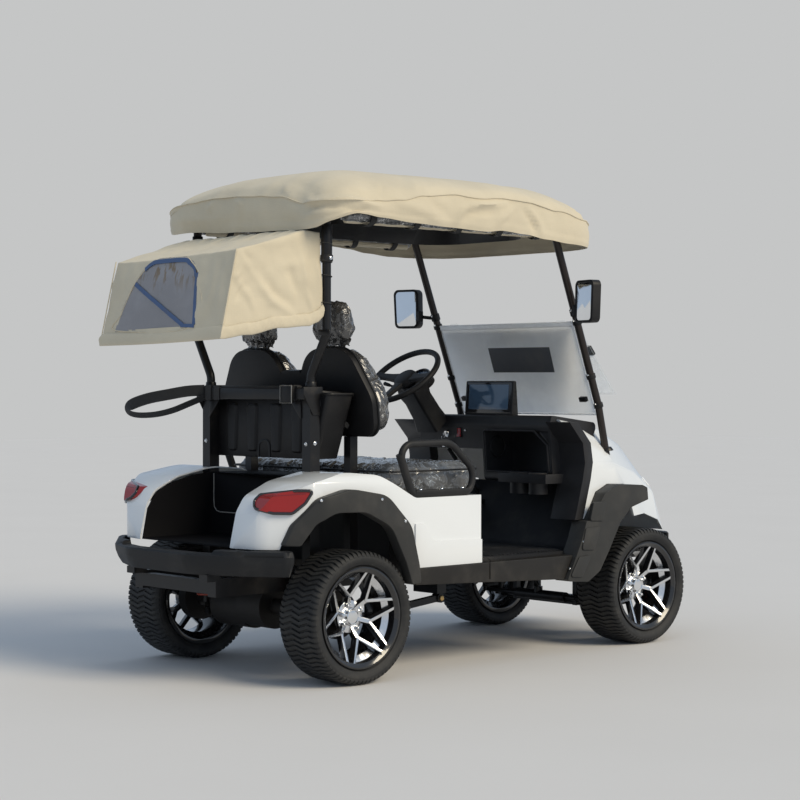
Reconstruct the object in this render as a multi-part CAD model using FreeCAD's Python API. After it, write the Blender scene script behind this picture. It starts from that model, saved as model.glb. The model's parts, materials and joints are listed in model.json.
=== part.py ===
"""A two-seat electric golf cart with fabric rain covers, parked on its four wheels.

Millimetres, +Z up, the ground at Z = 0. The cart drives towards -Y and its left (driver's) side is +X.
The origin lies on the ground below the middle of the outer box. Stations along the cart are measured
from the nearer axle: R(d) is d behind the rear axle, F(d) is d behind the front axle.
"""
import FreeCAD
import Part

import math
import os

V = FreeCAD.Vector
ORIGIN = V(0, 0, 0)
X_AXIS = V(1, 0, 0)
Y_AXIS = V(0, 1, 0)
Z_AXIS = V(0, 0, 1)

# Overall layout
WHEELBASE = 1710.0
FRONT_OVERHANG = 415.0
REAR_OVERHANG = 530.0
FRONT_TRACK = 894.0
REAR_TRACK = 988.0
BODY_HALF = 560.0
FLARE_OUT = 52.0
SEAT_INSET = 60.0
FLOOR_INSET = 55.0
FLARE_HALF = BODY_HALF + FLARE_OUT

# Running gaps: a shaft in its bore, and two pieces that only seem to touch
RUNNING_FIT = 0.05
CLEAR = 0.3

LENGTH = FRONT_OVERHANG + WHEELBASE + REAR_OVERHANG
REAR_AXLE = LENGTH / 2 - REAR_OVERHANG
FRONT_AXLE = REAR_AXLE - WHEELBASE

# Wheels: 215/35-14 tyres on 14 inch rims
TYRE_R = 253.0
TYRE_HALF = 106.0
SEAT_R = 177.8
SEAT_HALF = 84.0
FLANGE_R = 192.5
RIM_HALF = 94.0
WELL_R = 155.0
BARREL_WALL = 6.5
HUB_R = 62.0
HUB_FACE = 22.0
HUB_BACK = -40.0
CAP_R = 31.0
CAP_LENGTH = 12.0
SPINDLE_R = 20.0
SPOKES = 6
SPOKE_PHASE = 16.0
FORK_R = 82.0
FORK_FACE = 46.0
TIP_FACE = 85.0
TIP_SPREAD = 24.2
ARM_FACE = 10.0
ARM_FLARE = 9.0
ARM_DEPTH = 26.0
STEM_FACE = 17.0


def R(offset):
    """Station behind the rear axle."""
    return REAR_AXLE + offset


def F(offset):
    """Station behind the front axle."""
    return FRONT_AXLE + offset


def round_corner(before, corner, after, radius):
    """Start, middle and end of the arc that rounds one corner of a path."""
    d_in = (corner - before).normalize()
    d_out = (after - corner).normalize()
    turn = d_in.getAngle(d_out)
    reach = radius * math.tan(turn / 2)
    inward = (d_out - d_in).normalize()
    centre = corner + inward * (radius / math.cos(turn / 2))
    return corner - d_in * reach, centre - inward * radius, corner + d_out * reach


def rounded_path(points, closed):
    """Wire of lines and arcs through 3-D points, each given with its corner radius."""
    count = len(points)
    edges = []
    stops = []
    for i, (corner, radius) in enumerate(points):
        inner = closed or 0 < i < count - 1
        if inner and radius > 0:
            arc = round_corner(points[i - 1][0], corner, points[(i + 1) % count][0], radius)
            stops.append((arc[0], arc, arc[2]))
        else:
            stops.append((corner, None, corner))
    for i, (_, arc, leave) in enumerate(stops):
        if arc:
            edges.append(Part.Arc(*arc).toShape())
        if i == count - 1 and not closed:
            break
        arrive = stops[(i + 1) % count][0]
        if leave.distanceToPoint(arrive) > 1e-6:
            edges.append(Part.LineSegment(leave, arrive).toShape())
    return Part.Wire(Part.sortEdges(edges)[0])


PLANES = {
    "yz": lambda u, v, w: V(w, u, v),
    "xz": lambda u, v, w: V(u, w, v),
    "xy": lambda u, v, w: V(u, v, w),
}


def outline(corners, plane, level):
    """Closed wire in a plane; corners are (u, v, radius)."""
    place = PLANES[plane]
    return rounded_path([(place(u, v, level), radius) for u, v, radius in corners], True)


def prism(corners, plane, start, end):
    """Solid between two levels of a plane; corners are (u, v, radius)."""
    face = Part.Face(outline(corners, plane, start))
    return face.extrude(PLANES[plane](0, 0, end - start))


def box(x0, x1, y0, y1, z0, z1):
    """Box from its limits."""
    return Part.makeBox(x1 - x0, y1 - y0, z1 - z0, V(x0, y0, z0))


def rod(start, end, radius):
    """Cylinder between two points."""
    run = end - start
    return Part.makeCylinder(radius, run.Length, start, run)


def tube(points, radius, bend):
    """Round tube along a path whose corners are bent to one radius."""
    path = rounded_path([(p, bend) for p in points], False)
    start = points[0]
    ring = Part.Wire(Part.Circle(start, points[1] - start, radius).toShape())
    return path.makePipeShell([ring], True, False)


def strip(points, width_dir, width, thick, bend):
    """Flat bar along a path; its width lies along width_dir."""
    path = rounded_path([(p, bend) for p in points], False)
    start = points[0]
    along = (points[1] - start).normalize()
    side = width_dir.normalize() * (width / 2)
    out = along.cross(width_dir).normalize() * (thick / 2)
    ring = Part.makePolygon([start + side + out, start - side + out, start - side - out,
                             start + side - out, start + side + out])
    return path.makePipeShell([ring], True, False)


def mirrored(shape):
    """Copy on the other side of the cart."""
    return shape.mirror(ORIGIN, X_AXIS)


def pair(shape):
    """The shape and its mirror image, apart."""
    return [shape, mirrored(shape)]


def joined(shapes):
    """One solid from overlapping shapes."""
    return shapes[0].fuse(shapes[1:]).removeSplitter()


def revolved(profile):
    """Solid of revolution about X; profile corners are (x, radius from the axis, corner radius)."""
    wire = outline(profile, "xz", 0)
    return Part.Face(wire).revolve(ORIGIN, X_AXIS, 360)


# Wheels and tyres, built about the origin with the outboard side towards +X


def tyre():
    """Tyre as a ring that seats on the rim between its flanges."""
    side = [(SEAT_HALF, SEAT_R + CLEAR, 0), (SEAT_HALF, FLANGE_R + 2, 0),
            (TYRE_HALF - 9, FLANGE_R + 7, 6), (TYRE_HALF, FLANGE_R + 30, 16),
            (TYRE_HALF - 5, TYRE_R - 9, 6), (TYRE_HALF - 16, TYRE_R, 8)]
    return revolved(side + [(-x, r, c) for x, r, c in reversed(side)])


def spoke_section(face_point, direction, face_width, depth):
    """Trapezoid across a spoke: narrow machined face outboard, wider foot inboard."""
    across = X_AXIS.cross(direction)
    foot = face_point - X_AXIS * depth
    half_face = across * (face_width / 2)
    half_foot = across * (face_width / 2 + ARM_FLARE / 2)
    return Part.makePolygon([face_point + half_face, face_point - half_face,
                             foot - half_foot, foot + half_foot, face_point + half_face])


def spoke_bar(start, end, width_start, width_end):
    """Straight spoke piece between two points on the wheel's face."""
    direction = V(0, end.y - start.y, end.z - start.z).normalize()
    return Part.makeLoft([spoke_section(start, direction, width_start, ARM_DEPTH),
                          spoke_section(end, direction, width_end, ARM_DEPTH)], True, True)


def face_point(axial, radius, degrees):
    """Point on the wheel's face, at an angle from +Y towards +Z."""
    a = math.radians(degrees)
    return V(axial, radius * math.cos(a), radius * math.sin(a))


def rim():
    """Cast rim: barrel, hub with cap, and forked spokes that dish in to the hub."""
    inside = SEAT_R - BARREL_WALL
    barrel = revolved([
        (RIM_HALF, FLANGE_R, 0), (SEAT_HALF + 2, FLANGE_R, 0), (SEAT_HALF + CLEAR, SEAT_R, 0),
        (48, SEAT_R, 0), (34, WELL_R, 0), (-50, WELL_R, 0), (-62, SEAT_R, 0),
        (-SEAT_HALF - CLEAR, SEAT_R, 0), (-SEAT_HALF - 2, FLANGE_R, 0), (-RIM_HALF, FLANGE_R, 0),
        (-RIM_HALF, inside + 4, 0), (-66, inside, 0), (-54, WELL_R - BARREL_WALL, 0),
        (38, WELL_R - BARREL_WALL, 0), (52, inside, 0), (SEAT_HALF, inside, 0),
        (RIM_HALF, FLANGE_R - BARREL_WALL, 0)])
    hub = Part.makeCylinder(HUB_R, HUB_FACE + 12, V(-12, 0, 0), X_AXIS)
    boss = Part.makeCylinder(HUB_R - 16, -12 - HUB_BACK, V(HUB_BACK, 0, 0), X_AXIS)
    cap = Part.makeCone(CAP_R, CAP_R - 4, CAP_LENGTH, V(HUB_FACE, 0, 0), X_AXIS)
    pieces = [barrel, hub, boss, cap]
    tip_r = SEAT_R - BARREL_WALL / 2
    for i in range(SPOKES):
        axis = SPOKE_PHASE + i * 360 / SPOKES
        fork = face_point(FORK_FACE, FORK_R, axis)
        pieces.append(spoke_bar(face_point(HUB_FACE, HUB_R / 2, axis), fork, STEM_FACE, STEM_FACE))
        for side in (-1, 1):
            tip = face_point(TIP_FACE, tip_r, axis + side * TIP_SPREAD)
            pieces.append(spoke_bar(fork, tip, ARM_FACE + 2, ARM_FACE))
    bore = Part.makeCylinder(SPINDLE_R, HUB_FACE - 12 - HUB_BACK, V(HUB_BACK, 0, 0), X_AXIS)
    return joined(pieces).cut(bore)


def placed_wheel(shape, side, track, axle):
    """Wheel piece at its corner of the cart; side is +1 left, -1 right."""
    copy = shape.copy() if side > 0 else mirrored(shape)
    copy.translate(V(side * track / 2, axle, TYRE_R))
    return copy


WHEELS = (
    # name, side, track, axle station
    ("front_left", 1, FRONT_TRACK, FRONT_AXLE),
    ("front_right", -1, FRONT_TRACK, FRONT_AXLE),
    ("rear_left", 1, REAR_TRACK, REAR_AXLE),
    ("rear_right", -1, REAR_TRACK, REAR_AXLE),
)

# Uprights that stand on the frame inside the rear tyres: square rear posts and seat supports
ARCH_GAP = 46.0
POST_W = 48.0
POST_X = REAR_TRACK / 2 - TYRE_HALF - ARCH_GAP - POST_W / 2
POST_Y = 27.0
SUPPORT_X = POST_X - 5
SUPPORT_Y = -181.0
SUPPORT_W = 38.0

# Chassis: two box rails with cross members
RAIL_X = POST_X - 83
RAIL_W = 50.0
RAIL_TOP = 405.0
RAIL_H = 70.0
FRONT_RAIL_X = 150.0
FRONT_RAIL_END = -351.7
REAR_RAIL_END = 440.0
BUMPER_LOW = 422.0
BUMPER_TOP = 518.0
BUMPER_FRONT = 298.0

# Front suspension and steering
KINGPIN_X = FRONT_TRACK / 2 - 77
BALL_RISE = 95.0
BALL_R = 18.0
ARM_PIVOT_X = 185.0
ARM_SPREAD = 70.0
ARM_BAR = 11.0
PIVOT_POST = 12.0
STEER_ARM = 100.0
STEER_ARM_X = KINGPIN_X - 15
RACK_Z = 178.0
RACK_R = 12.0
RACK_HALF = 150.0
RACK_TUBE_R = 22.0
TIE_ROD_R = 9.0
PINION_X = 20.0
PINION_TOP = 215.0
SHOCK_R = 26.0
SHOCK_LOW_X = KINGPIN_X - 85
SHOCK_TOP_X = 215.0
SHOCK_TOP_Z = 560.0

# Rear axle
AXLE_TUBE_R = 32.0
DRUM_R = 92.0
DIFF_R = 88.0
MOTOR_R = 84.0
MOTOR_LENGTH = 200.0
LINK_X = POST_X + 12
LINK_FRONT = -640.0
LINK_FRONT_Z = 262.0
LINK_EYE_R = 19.0
REAR_SHOCK_X = POST_X - 18
REAR_SHOCK_Y = 66.0
OUTRIGGER_T = 12.0


def chassis_frame():
    """Ladder frame with brackets for the rear links, the dampers and the uprights."""
    z0 = RAIL_TOP - RAIL_H
    rails = []
    for side in (-1, 1):
        rails.append(box(side * RAIL_X - RAIL_W / 2, side * RAIL_X + RAIL_W / 2,
                         F(320), R(REAR_RAIL_END), z0, RAIL_TOP))
        rails.append(box(side * FRONT_RAIL_X - RAIL_W / 2, side * FRONT_RAIL_X + RAIL_W / 2,
                         F(FRONT_RAIL_END), F(370), z0, RAIL_TOP))
        hanger_x = side * (RAIL_X + RAIL_W / 2)
        link_side = side * (LINK_X + 22)
        low, high = sorted((hanger_x - side * RAIL_W, link_side))
        hanger = box(low, high, R(LINK_FRONT) - 25, R(LINK_FRONT) + 25,
                     LINK_FRONT_Z + LINK_EYE_R + CLEAR, z0 + 20)
        rails.append(hanger)
        low, high = sorted((side * RAIL_X - RAIL_W / 2, side * RAIL_X + RAIL_W / 2))
        rails.append(box(low, high, R(REAR_RAIL_END) - 20, R(REAR_RAIL_END) + 40,
                         RAIL_TOP - 10, BUMPER_LOW - CLEAR))
        tower = prism([(side * (FRONT_RAIL_X - 25), RAIL_TOP - 20, 0),
                       (side * (FRONT_RAIL_X + 25), RAIL_TOP - 20, 0),
                       (side * (FRONT_RAIL_X + 25), SHOCK_TOP_Z, 0),
                       (side * (SHOCK_TOP_X + 22), SHOCK_TOP_Z, 0),
                       (side * (SHOCK_TOP_X + 22), SHOCK_TOP_Z + 20, 0),
                       (side * (FRONT_RAIL_X - 25), SHOCK_TOP_Z + 20, 0)], "xz", F(-20), F(20))
        rails.append(tower)
        inner = side * (RAIL_X + RAIL_W / 2 - 10)
        for outer, y0, y1 in ((POST_X + POST_W / 2, POST_Y - POST_W / 2, REAR_SHOCK_Y + 30),
                              (SUPPORT_X + SUPPORT_W / 2, SUPPORT_Y - 25, SUPPORT_Y + 25)):
            low, high = sorted((inner, side * outer))
            rails.append(box(low, high, R(y0), R(y1), RAIL_TOP - OUTRIGGER_T, RAIL_TOP))
    for station in (F(FRONT_RAIL_END), F(320), R(LINK_FRONT) - 20, R(-200), R(REAR_RAIL_END) - 40):
        half = RAIL_X if station > F(300) else FRONT_RAIL_X
        rails.append(box(-half, half, station, station + 40, z0 + 10, RAIL_TOP - 10))
    return joined(rails)


def front_subframe():
    """Posts and cross bars between the front rails that carry the wishbones and the rack's tube."""
    pieces = []
    for offset in (-ARM_SPREAD, ARM_SPREAD):
        for side in (-1, 1):
            x = side * ARM_PIVOT_X
            pieces.append(box(x - PIVOT_POST, x + PIVOT_POST, F(offset) - PIVOT_POST, F(offset) + PIVOT_POST,
                              TYRE_R - BALL_RISE - 14, TYRE_R + BALL_RISE + 14))
        for z in (TYRE_R - BALL_RISE, TYRE_R + BALL_RISE):
            pieces.append(box(-ARM_PIVOT_X, ARM_PIVOT_X, F(offset) - 12, F(offset) + 12, z - 12, z + 12))
    ends = V(-RACK_HALF, F(STEER_ARM), RACK_Z), V(RACK_HALF, F(STEER_ARM), RACK_Z)
    pieces.append(rod(*ends, RACK_TUBE_R))
    pieces.append(Part.makeCylinder(20, PINION_TOP - RACK_Z, V(PINION_X, F(STEER_ARM), RACK_Z), Z_AXIS))
    half = RAIL_W / 2 + CLEAR
    gaps = [box(side * FRONT_RAIL_X - half, side * FRONT_RAIL_X + half, F(-200), F(200),
                RAIL_TOP - RAIL_H - CLEAR, RAIL_TOP + CLEAR) for side in (-1, 1)]
    return joined(pieces).cut(gaps + [rod(*ends, RACK_R + RUNNING_FIT)]).Solids


def wishbone(side, z):
    """A-arm from its two inner pivots to the ball at the kingpin."""
    ball = V(side * KINGPIN_X, F(0), z)
    legs = []
    for offset in (-ARM_SPREAD, ARM_SPREAD):
        pivot = V(side * ARM_PIVOT_X, F(offset), z)
        legs.append(rod(pivot, ball, ARM_BAR))
    seat = Part.makeCylinder(BALL_R, 2 * ARM_BAR, ball - Z_AXIS * ARM_BAR, Z_AXIS)
    reach = ARM_PIVOT_X + PIVOT_POST + CLEAR
    return joined(legs + [seat]).cut(box(-reach, reach, F(-200), F(200), z - 50, z + 50))


def front_suspension():
    """Wishbones and coil-over dampers on both sides."""
    solids = []
    for side in (-1, 1):
        upper = TYRE_R + BALL_RISE
        lower = TYRE_R - BALL_RISE
        foot = V(side * SHOCK_LOW_X, F(0), lower + ARM_BAR + 16)
        top = V(side * SHOCK_TOP_X, F(0), SHOCK_TOP_Z + 5)
        along = (top - foot).normalize()
        damper = joined([rod(foot - along * 20, top, SHOCK_R / 2),
                         rod(foot + along * 60, top - along * 30, SHOCK_R)])
        damper = damper.cut(box(-400, 400, F(-50), F(50), SHOCK_TOP_Z - CLEAR, SHOCK_TOP_Z + 60))
        cross = box(side * SHOCK_LOW_X - 12, side * SHOCK_LOW_X + 12, F(-60), F(60),
                    lower - 8, lower + 8)
        solids.append(joined([wishbone(side, lower), cross, damper]))
        solids.append(wishbone(side, upper))
    return solids


def knuckle(side):
    """Front knuckle: upright between the balls, spindle, brake plate and steering arm."""
    x = side * KINGPIN_X
    reach = BALL_RISE - ARM_BAR - CLEAR
    upright = Part.makeCylinder(BALL_R, 2 * reach, V(x, F(0), TYRE_R - reach), Z_AXIS)
    wheel_x = side * FRONT_TRACK / 2
    spindle = rod(V(x - side * (BALL_R + 6), F(0), TYRE_R), V(wheel_x + side * (HUB_FACE - 16), F(0), TYRE_R),
                  SPINDLE_R - RUNNING_FIT)
    plate_face = wheel_x + side * (HUB_BACK - 2)
    plate = rod(V(plate_face - side * 14, F(0), TYRE_R), V(plate_face, F(0), TYRE_R), DRUM_R)
    arm_z = RACK_Z + 11
    arm = prism([(x + side * 9, F(0), 0), (side * (STEER_ARM_X + 14), F(STEER_ARM) + 15, 11),
                 (side * (STEER_ARM_X - 14), F(STEER_ARM) + 15, 11), (x - side * 10, F(0), 0)],
                "xy", arm_z, arm_z + 13)
    return joined([upright, spindle, plate, arm])


def tie_rods():
    """Rack bar with a tie rod each side; the rod's eye lies under the steering arm's end."""
    y = F(STEER_ARM)
    long_half = RACK_HALF + 62
    bar = rod(V(-long_half, y, RACK_Z), V(long_half, y, RACK_Z), RACK_R)
    rods = rod(V(-STEER_ARM_X, y, RACK_Z), V(STEER_ARM_X, y, RACK_Z), TIE_ROD_R)
    eyes = [Part.makeCylinder(15, 18, V(side * STEER_ARM_X, y, RACK_Z - 8), Z_AXIS) for side in (-1, 1)]
    return joined([bar, rods] + eyes)


def rear_axle():
    """Axle tube with differential, brake drums, stub shafts and the drive motor."""
    hub_back = REAR_TRACK / 2 + HUB_BACK
    end = hub_back - 2
    pieces = [rod(V(-end, R(0), TYRE_R), V(end, R(0), TYRE_R), AXLE_TUBE_R),
              rod(V(-75, R(0), TYRE_R), V(75, R(0), TYRE_R), DIFF_R),
              rod(V(60, R(-8), TYRE_R - 14), V(60 + MOTOR_LENGTH, R(-8), TYRE_R - 14), MOTOR_R)]
    stub = REAR_TRACK / 2 + HUB_FACE - 16
    pieces.append(rod(V(-stub, R(0), TYRE_R), V(stub, R(0), TYRE_R), SPINDLE_R - RUNNING_FIT))
    for side in (-1, 1):
        pieces.append(rod(V(side * (end - 46), R(0), TYRE_R), V(side * end, R(0), TYRE_R), DRUM_R))
        x = side * REAR_SHOCK_X
        pieces.append(box(x - 16, x + 16, R(0), R(REAR_SHOCK_Y + 16), TYRE_R - 20, TYRE_R - 8))
    return joined(pieces)


def rear_suspension():
    """Trailing links under the axle and coil-over dampers behind it."""
    solids = []
    for side in (-1, 1):
        x = side * LINK_X
        low_z = TYRE_R - AXLE_TUBE_R - 14
        link = strip([V(x, R(40), low_z), V(x, R(-120), low_z), V(x, R(LINK_FRONT), LINK_FRONT_Z)],
                     X_AXIS, 26, 26, 120)
        eye = rod(V(x - 20, R(LINK_FRONT), LINK_FRONT_Z), V(x + 20, R(LINK_FRONT), LINK_FRONT_Z),
                  LINK_EYE_R)
        solids.append(joined([link, eye]))
        foot = V(side * REAR_SHOCK_X, R(REAR_SHOCK_Y), TYRE_R - 8 + CLEAR)
        top = V(side * REAR_SHOCK_X, R(REAR_SHOCK_Y), RAIL_TOP - OUTRIGGER_T - CLEAR)
        solids.append(joined([rod(foot, top, 11), rod(foot + Z_AXIS * 30, top - Z_AXIS * 8, 27)]))
    return solids


# Floor and sills
FLOOR_TOP = 432.0
FLOOR_T = 14.0
SHAFT_TOP = V(300, F(400), 844)
SHAFT_FOOT = V(PINION_X, F(STEER_ARM), PINION_TOP + 5.2)
SHAFT_R = 9.0
FLOOR_HALF = BODY_HALF - FLOOR_INSET
TOE_TOP_Z = 700.0
RISER_TOP = 690.0
SEAT_FRONT = -650.0
SILL_OUT = BODY_HALF + 12


def floor_pan():
    """Moulded floor: sloping toe board, flat floor and the riser below the seat."""
    top = [(F(268), TOE_TOP_Z, 0), (F(430), FLOOR_TOP, 40), (R(SEAT_FRONT), FLOOR_TOP, 20),
           (R(SEAT_FRONT), RISER_TOP, 0)]
    under = [(R(SEAT_FRONT) + FLOOR_T, RISER_TOP, 0), (R(SEAT_FRONT) + FLOOR_T, FLOOR_TOP - FLOOR_T, 0),
             (F(422), FLOOR_TOP - FLOOR_T, 0), (F(268) - FLOOR_T, TOE_TOP_Z, 0)]
    hole = rod(SHAFT_TOP, SHAFT_FOOT, SHAFT_R + 5)
    return prism(top + under, "yz", -FLOOR_HALF, FLOOR_HALF).cut(hole)


def sills():
    """Rocker panel below each door opening."""
    corners = [(F(572), 322, 6), (R(-290), 356, 6), (R(-290), 420, 6), (F(516), 420, 6)]
    return pair(prism(corners, "yz", FLOOR_HALF + CLEAR, SILL_OUT))


# Rear body
WALL = 6.0
REAR_ARCH = (
    # behind the rear axle, height, corner radius of the opening in the body side
    (380, 300, 0), (300, 560, 60), (235, 650, 90), (60, 690, 160), (-140, 650, 140), (-225, 480, 80),
    (-240, 300, 0),
)
WELL_HALF = POST_X - POST_W / 2 - 4
WELL_FRONT = 45.0
DECK_FRONT = -204.0
DECK_TOP = 776.0
WELL_FLOOR = 520.0
BODY_LOW = 420.0
BAND_OUT = 7.0
SIDE_BAND = (
    # the raised band along the lower edge of the body side: station, height, corner radius
    (REAR_AXLE - 657.7, BODY_LOW + 1, 0), (REAR_AXLE - 657.7, 515, 0), (REAR_AXLE - 388, 523, 40),
    (REAR_AXLE - 340, 592, 12), (REAR_AXLE - 294, 592, 0), (REAR_AXLE - 294, BODY_LOW + 1, 0),
)


def rear_plan(inset):
    """Plan outline of the rear body, drawn in by an inset."""
    b = BODY_HALF - inset
    front = R(-658) + inset
    return [(-b, front, 0), (b, front, 0), (b, R(215), 130), (430 - inset, R(372) - inset, 120),
            (260, R(408) - inset, 200), (-260, R(408) - inset, 200),
            (-430 + inset, R(372) - inset, 120), (-b, R(215), 130)]


def rear_profile(inset, bottom):
    """Side outline of the rear body, drawn in by an inset."""
    i = inset
    return [(R(-670), bottom, 0), (R(404) - i, bottom, 0), (R(397) - i, 530, 80),
            (R(368) - i, 655 - i / 2, 70), (R(330) - i, 712 - i, 70), (R(215), 765 - i, 160),
            (R(40), 800 - i, 300), (R(-120), 786 - i, 120), (R(-300), 692 - i, 60), (R(-670), 692 - i, 0)]


SHOULDER_TOP = 806.0
SHOULDER_R = 70.0


def rear_solid(inset, low, bottom):
    """The rear body as a solid: plan, side outline and rounded shoulders, drawn in by an inset."""
    b = BODY_HALF - inset
    top = SHOULDER_TOP - inset
    plan = prism(rear_plan(inset), "xy", low, 900)
    side = prism(rear_profile(inset, bottom), "yz", -700, 700)
    shoulders = prism([(-b, 200, 0), (-b, top, SHOULDER_R - inset), (b, top, SHOULDER_R - inset), (b, 200, 0)],
                      "xz", R(-700), R(600))
    return plan.common(side).common(shoulders)


def arch_prism(table, x_from, x_to):
    """Wheel opening cut from an arch table."""
    corners = [(R(d), z, c) for d, z, c in table]
    return prism(corners, "yz", x_from, x_to)


def upright_holes():
    """Clearance holes for the posts and seat supports that pass through the wings."""
    holes = []
    for x, y, w in ((POST_X, POST_Y, POST_W), (SUPPORT_X, SUPPORT_Y, SUPPORT_W)):
        half = w / 2 + CLEAR
        holes += [box(side * x - half, side * x + half, R(y) - half, R(y) + half, 300, 900)
                  for side in (-1, 1)]
    return holes


def rear_body():
    """White shell over the rear wheels and below the seat, open below and at the bag well."""
    shell = rear_solid(0, BODY_LOW, 400)
    for side in (-1, 1):
        low, high = sorted((side * (BODY_HALF - WALL / 2), side * (BODY_HALF + BAND_OUT)))
        shell = shell.fuse(prism(SIDE_BAND, "yz", low, high))
    shell = shell.cut(rear_solid(WALL, 300, 300))
    well = box(-WELL_HALF, WELL_HALF, R(DECK_FRONT), R(500), 300, 900)
    x = FLOOR_HALF + CLEAR
    battery_hole = box(-x, x, R(-680), R(DECK_FRONT), 300, 900)
    low_rear = box(-700, 700, R(150), R(500), 300, WELL_FLOOR)
    shell = shell.cut([well, battery_hole, low_rear] + upright_holes())
    for low, high in ((200, 700), (-700, -200)):
        shell = shell.cut(arch_prism(REAR_ARCH, low, high))
    return shell.Solids


def bag_well():
    """Black moulded well for the golf bags, open behind and above."""
    t = WALL
    x = WELL_HALF - CLEAR
    side = [(R(WELL_FRONT) + CLEAR, WELL_FLOOR, 0), (R(388), WELL_FLOOR, 0), (R(364), 640, 20),
            (R(326), 700, 30), (R(270), 732, 60), (R(150), 766, 100),
            (R(WELL_FRONT) + CLEAR, DECK_TOP, 0)]
    outer = prism(side, "yz", -x, x)
    inner = box(-x + t, x - t, R(WELL_FRONT) + CLEAR + t, R(500), WELL_FLOOR + t, 900)
    deck = box(-x, x, R(DECK_FRONT) + CLEAR, R(WELL_FRONT) + t, DECK_TOP - t, DECK_TOP)
    return joined([outer.cut(inner), deck]).cut(upright_holes())


def rear_flares():
    """Black arch lips that stand out from the rear body's sides."""
    outer = [(R(313), 534, 8), (R(285), 612, 60), (R(205), 710, 70), (R(70), 742, 160),
             (R(-110), 712, 120), (R(-235), 590, 100), (R(-275), 440, 40), (R(-284), 370, 8)]
    inner = [(R(-238), 364, 8), (R(-205), 450, 60), (R(-130), 590, 110), (R(0), 652, 130),
             (R(150), 655, 90), (R(215), 615, 50), (R(262), 534, 8)]
    w = FLARE_HALF
    plan = prism([(-w, R(-400), 0), (w, R(-400), 0), (w, R(170), 120), (w - 157, R(385), 60),
                  (157 - w, R(385), 60), (-w, R(170), 120)], "xy", 300, 900)
    lip = prism(outer + inner, "yz", BODY_HALF - 130, w).common(plan)
    return pair(lip.cut(prism(rear_plan(-CLEAR), "xy", 300, 900)))


def rear_bumper():
    """Wrap-round bumper below the wings and the bag well."""
    def level(z, inset):
        i = inset
        right = [(BODY_HALF - 10 - i, R(BUMPER_FRONT), 3), (BODY_HALF - 10 - i, R(330) - i / 2, 36),
                 (400 - i / 2, R(442) - i, 200), (190, R(REAR_OVERHANG) - i, 220)]
        return outline(right + [(-x, y, r) for x, y, r in reversed(right)], "xy", z)
    form = Part.makeLoft([level(BUMPER_LOW, 26), level(446, 12), level(474, 2), level(496, 0),
                          level(BUMPER_TOP - 4, 9), level(BUMPER_TOP, 18)], True, True)
    bay = [(500, R(BUMPER_FRONT) - 10, 0), (500, R(322), 30), (392, R(412), 60), (180, R(470), 120)]
    bay = prism(bay + [(-x, y, r) for x, y, r in reversed(bay)], "xy", 300, 600)
    notch = prism([(-330, 600, 0), (-288, 503, 10), (288, 503, 10), (330, 600, 0)], "xz", R(250), R(600))
    return form.cut([bay, notch])


LENS_TURN = 50.4
LENS = (
    # along the body's corner from its side to its rear, height, corner radius
    (0, 739, 8), (30, 692, 30), (78, 654, 25), (150, 655, 40), (222, 672, 14), (222, 700, 20),
    (200, 722, 20), (60, 740, 60),
)


def taillight(side):
    """Tail lamp let into the corner of one wing."""
    lens = prism(LENS, "xz", -160, 160)
    lens.rotate(ORIGIN, Z_AXIS, LENS_TURN)
    lens.translate(V(-BODY_HALF, R(215), 0))
    skin = rear_solid(-9, 600, 500).cut(rear_solid(-CLEAR, 500, 400))
    right = lens.common(skin)
    return right if side < 0 else mirrored(right)


# Front body
HOOD = (
    # behind the front axle, bottom z, half width at bottom, waist z, half width at waist, top z, half at top
    (440, 560, 548, 800, 520, 985, 430),
    (150, 560, 556, 790, 478, 958, 350),
    (-120, 560, 420, 740, 360, 872, 262),
    (-300, 520, 350, 650, 318, 745, 215),
    (-372, 470, 318, 560, 290, 610, 200),
)


TRIM_LINE = (
    # behind the front axle, height: where the white cowl meets the black door-edge trim
    (470, 1100), (461, 975), (378, 886), (364, 803), (378, 731), (427, 563), (427, 400),
)
FLARE_TOP = (
    # behind the front axle, height: upper edge of the mudguard against the cowl
    (46, 690), (90, 701), (240, 707), (330, 676), (430, 561),
)
DASH_HALF = 404.0
DASH_FRONT = 190.0
DASH_REAR = 470.0


def hood_section(row, inset):
    """Cross-section of the nose cowl at one station, drawn in by an inset."""
    d, z0, w0, z1, w1, z2, w2 = row
    i = inset
    right = [(w0 - i, z0 - i * 4, 0), (w1 - i, z1 - i / 2, 60), (w2 - i, z2 - i, 40)]
    left = [(-x, z, r) for x, z, r in reversed(right)]
    return outline(right + left, "xz", F(d))


def hood_solid(inset):
    """The nose as a solid, drawn in by an inset."""
    return Part.makeLoft([hood_section(row, inset) for row in HOOD], True, True)


def front_cowl():
    """White nose cowl over the front wheels, a hollow shell open below and to the cockpit."""
    outer = hood_solid(0)
    rows = [(HOOD[0][0] + 5,) + HOOD[0][1:]] + list(HOOD[1:4]) + [(HOOD[4][0] + WALL,) + HOOD[4][1:]]
    inner = Part.makeLoft([hood_section(row, WALL) for row in rows], True, True)
    behind = prism([(F(d), z, 0) for d, z in TRIM_LINE] + [(F(700), 400, 0), (F(700), 1100, 0)],
                   "yz", -700, 700)
    gap = DASH_HALF + CLEAR
    dash = box(-gap, gap, F(DASH_FRONT) - CLEAR, F(700), 600, 1100)
    below = prism([(F(d), z + CLEAR, 0) for d, z in FLARE_TOP] + [(F(430), 400, 0), (F(46), 400, 0)],
                  "yz", -700, 700)
    return outer.cut([inner, behind, dash, below]).Solids


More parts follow.
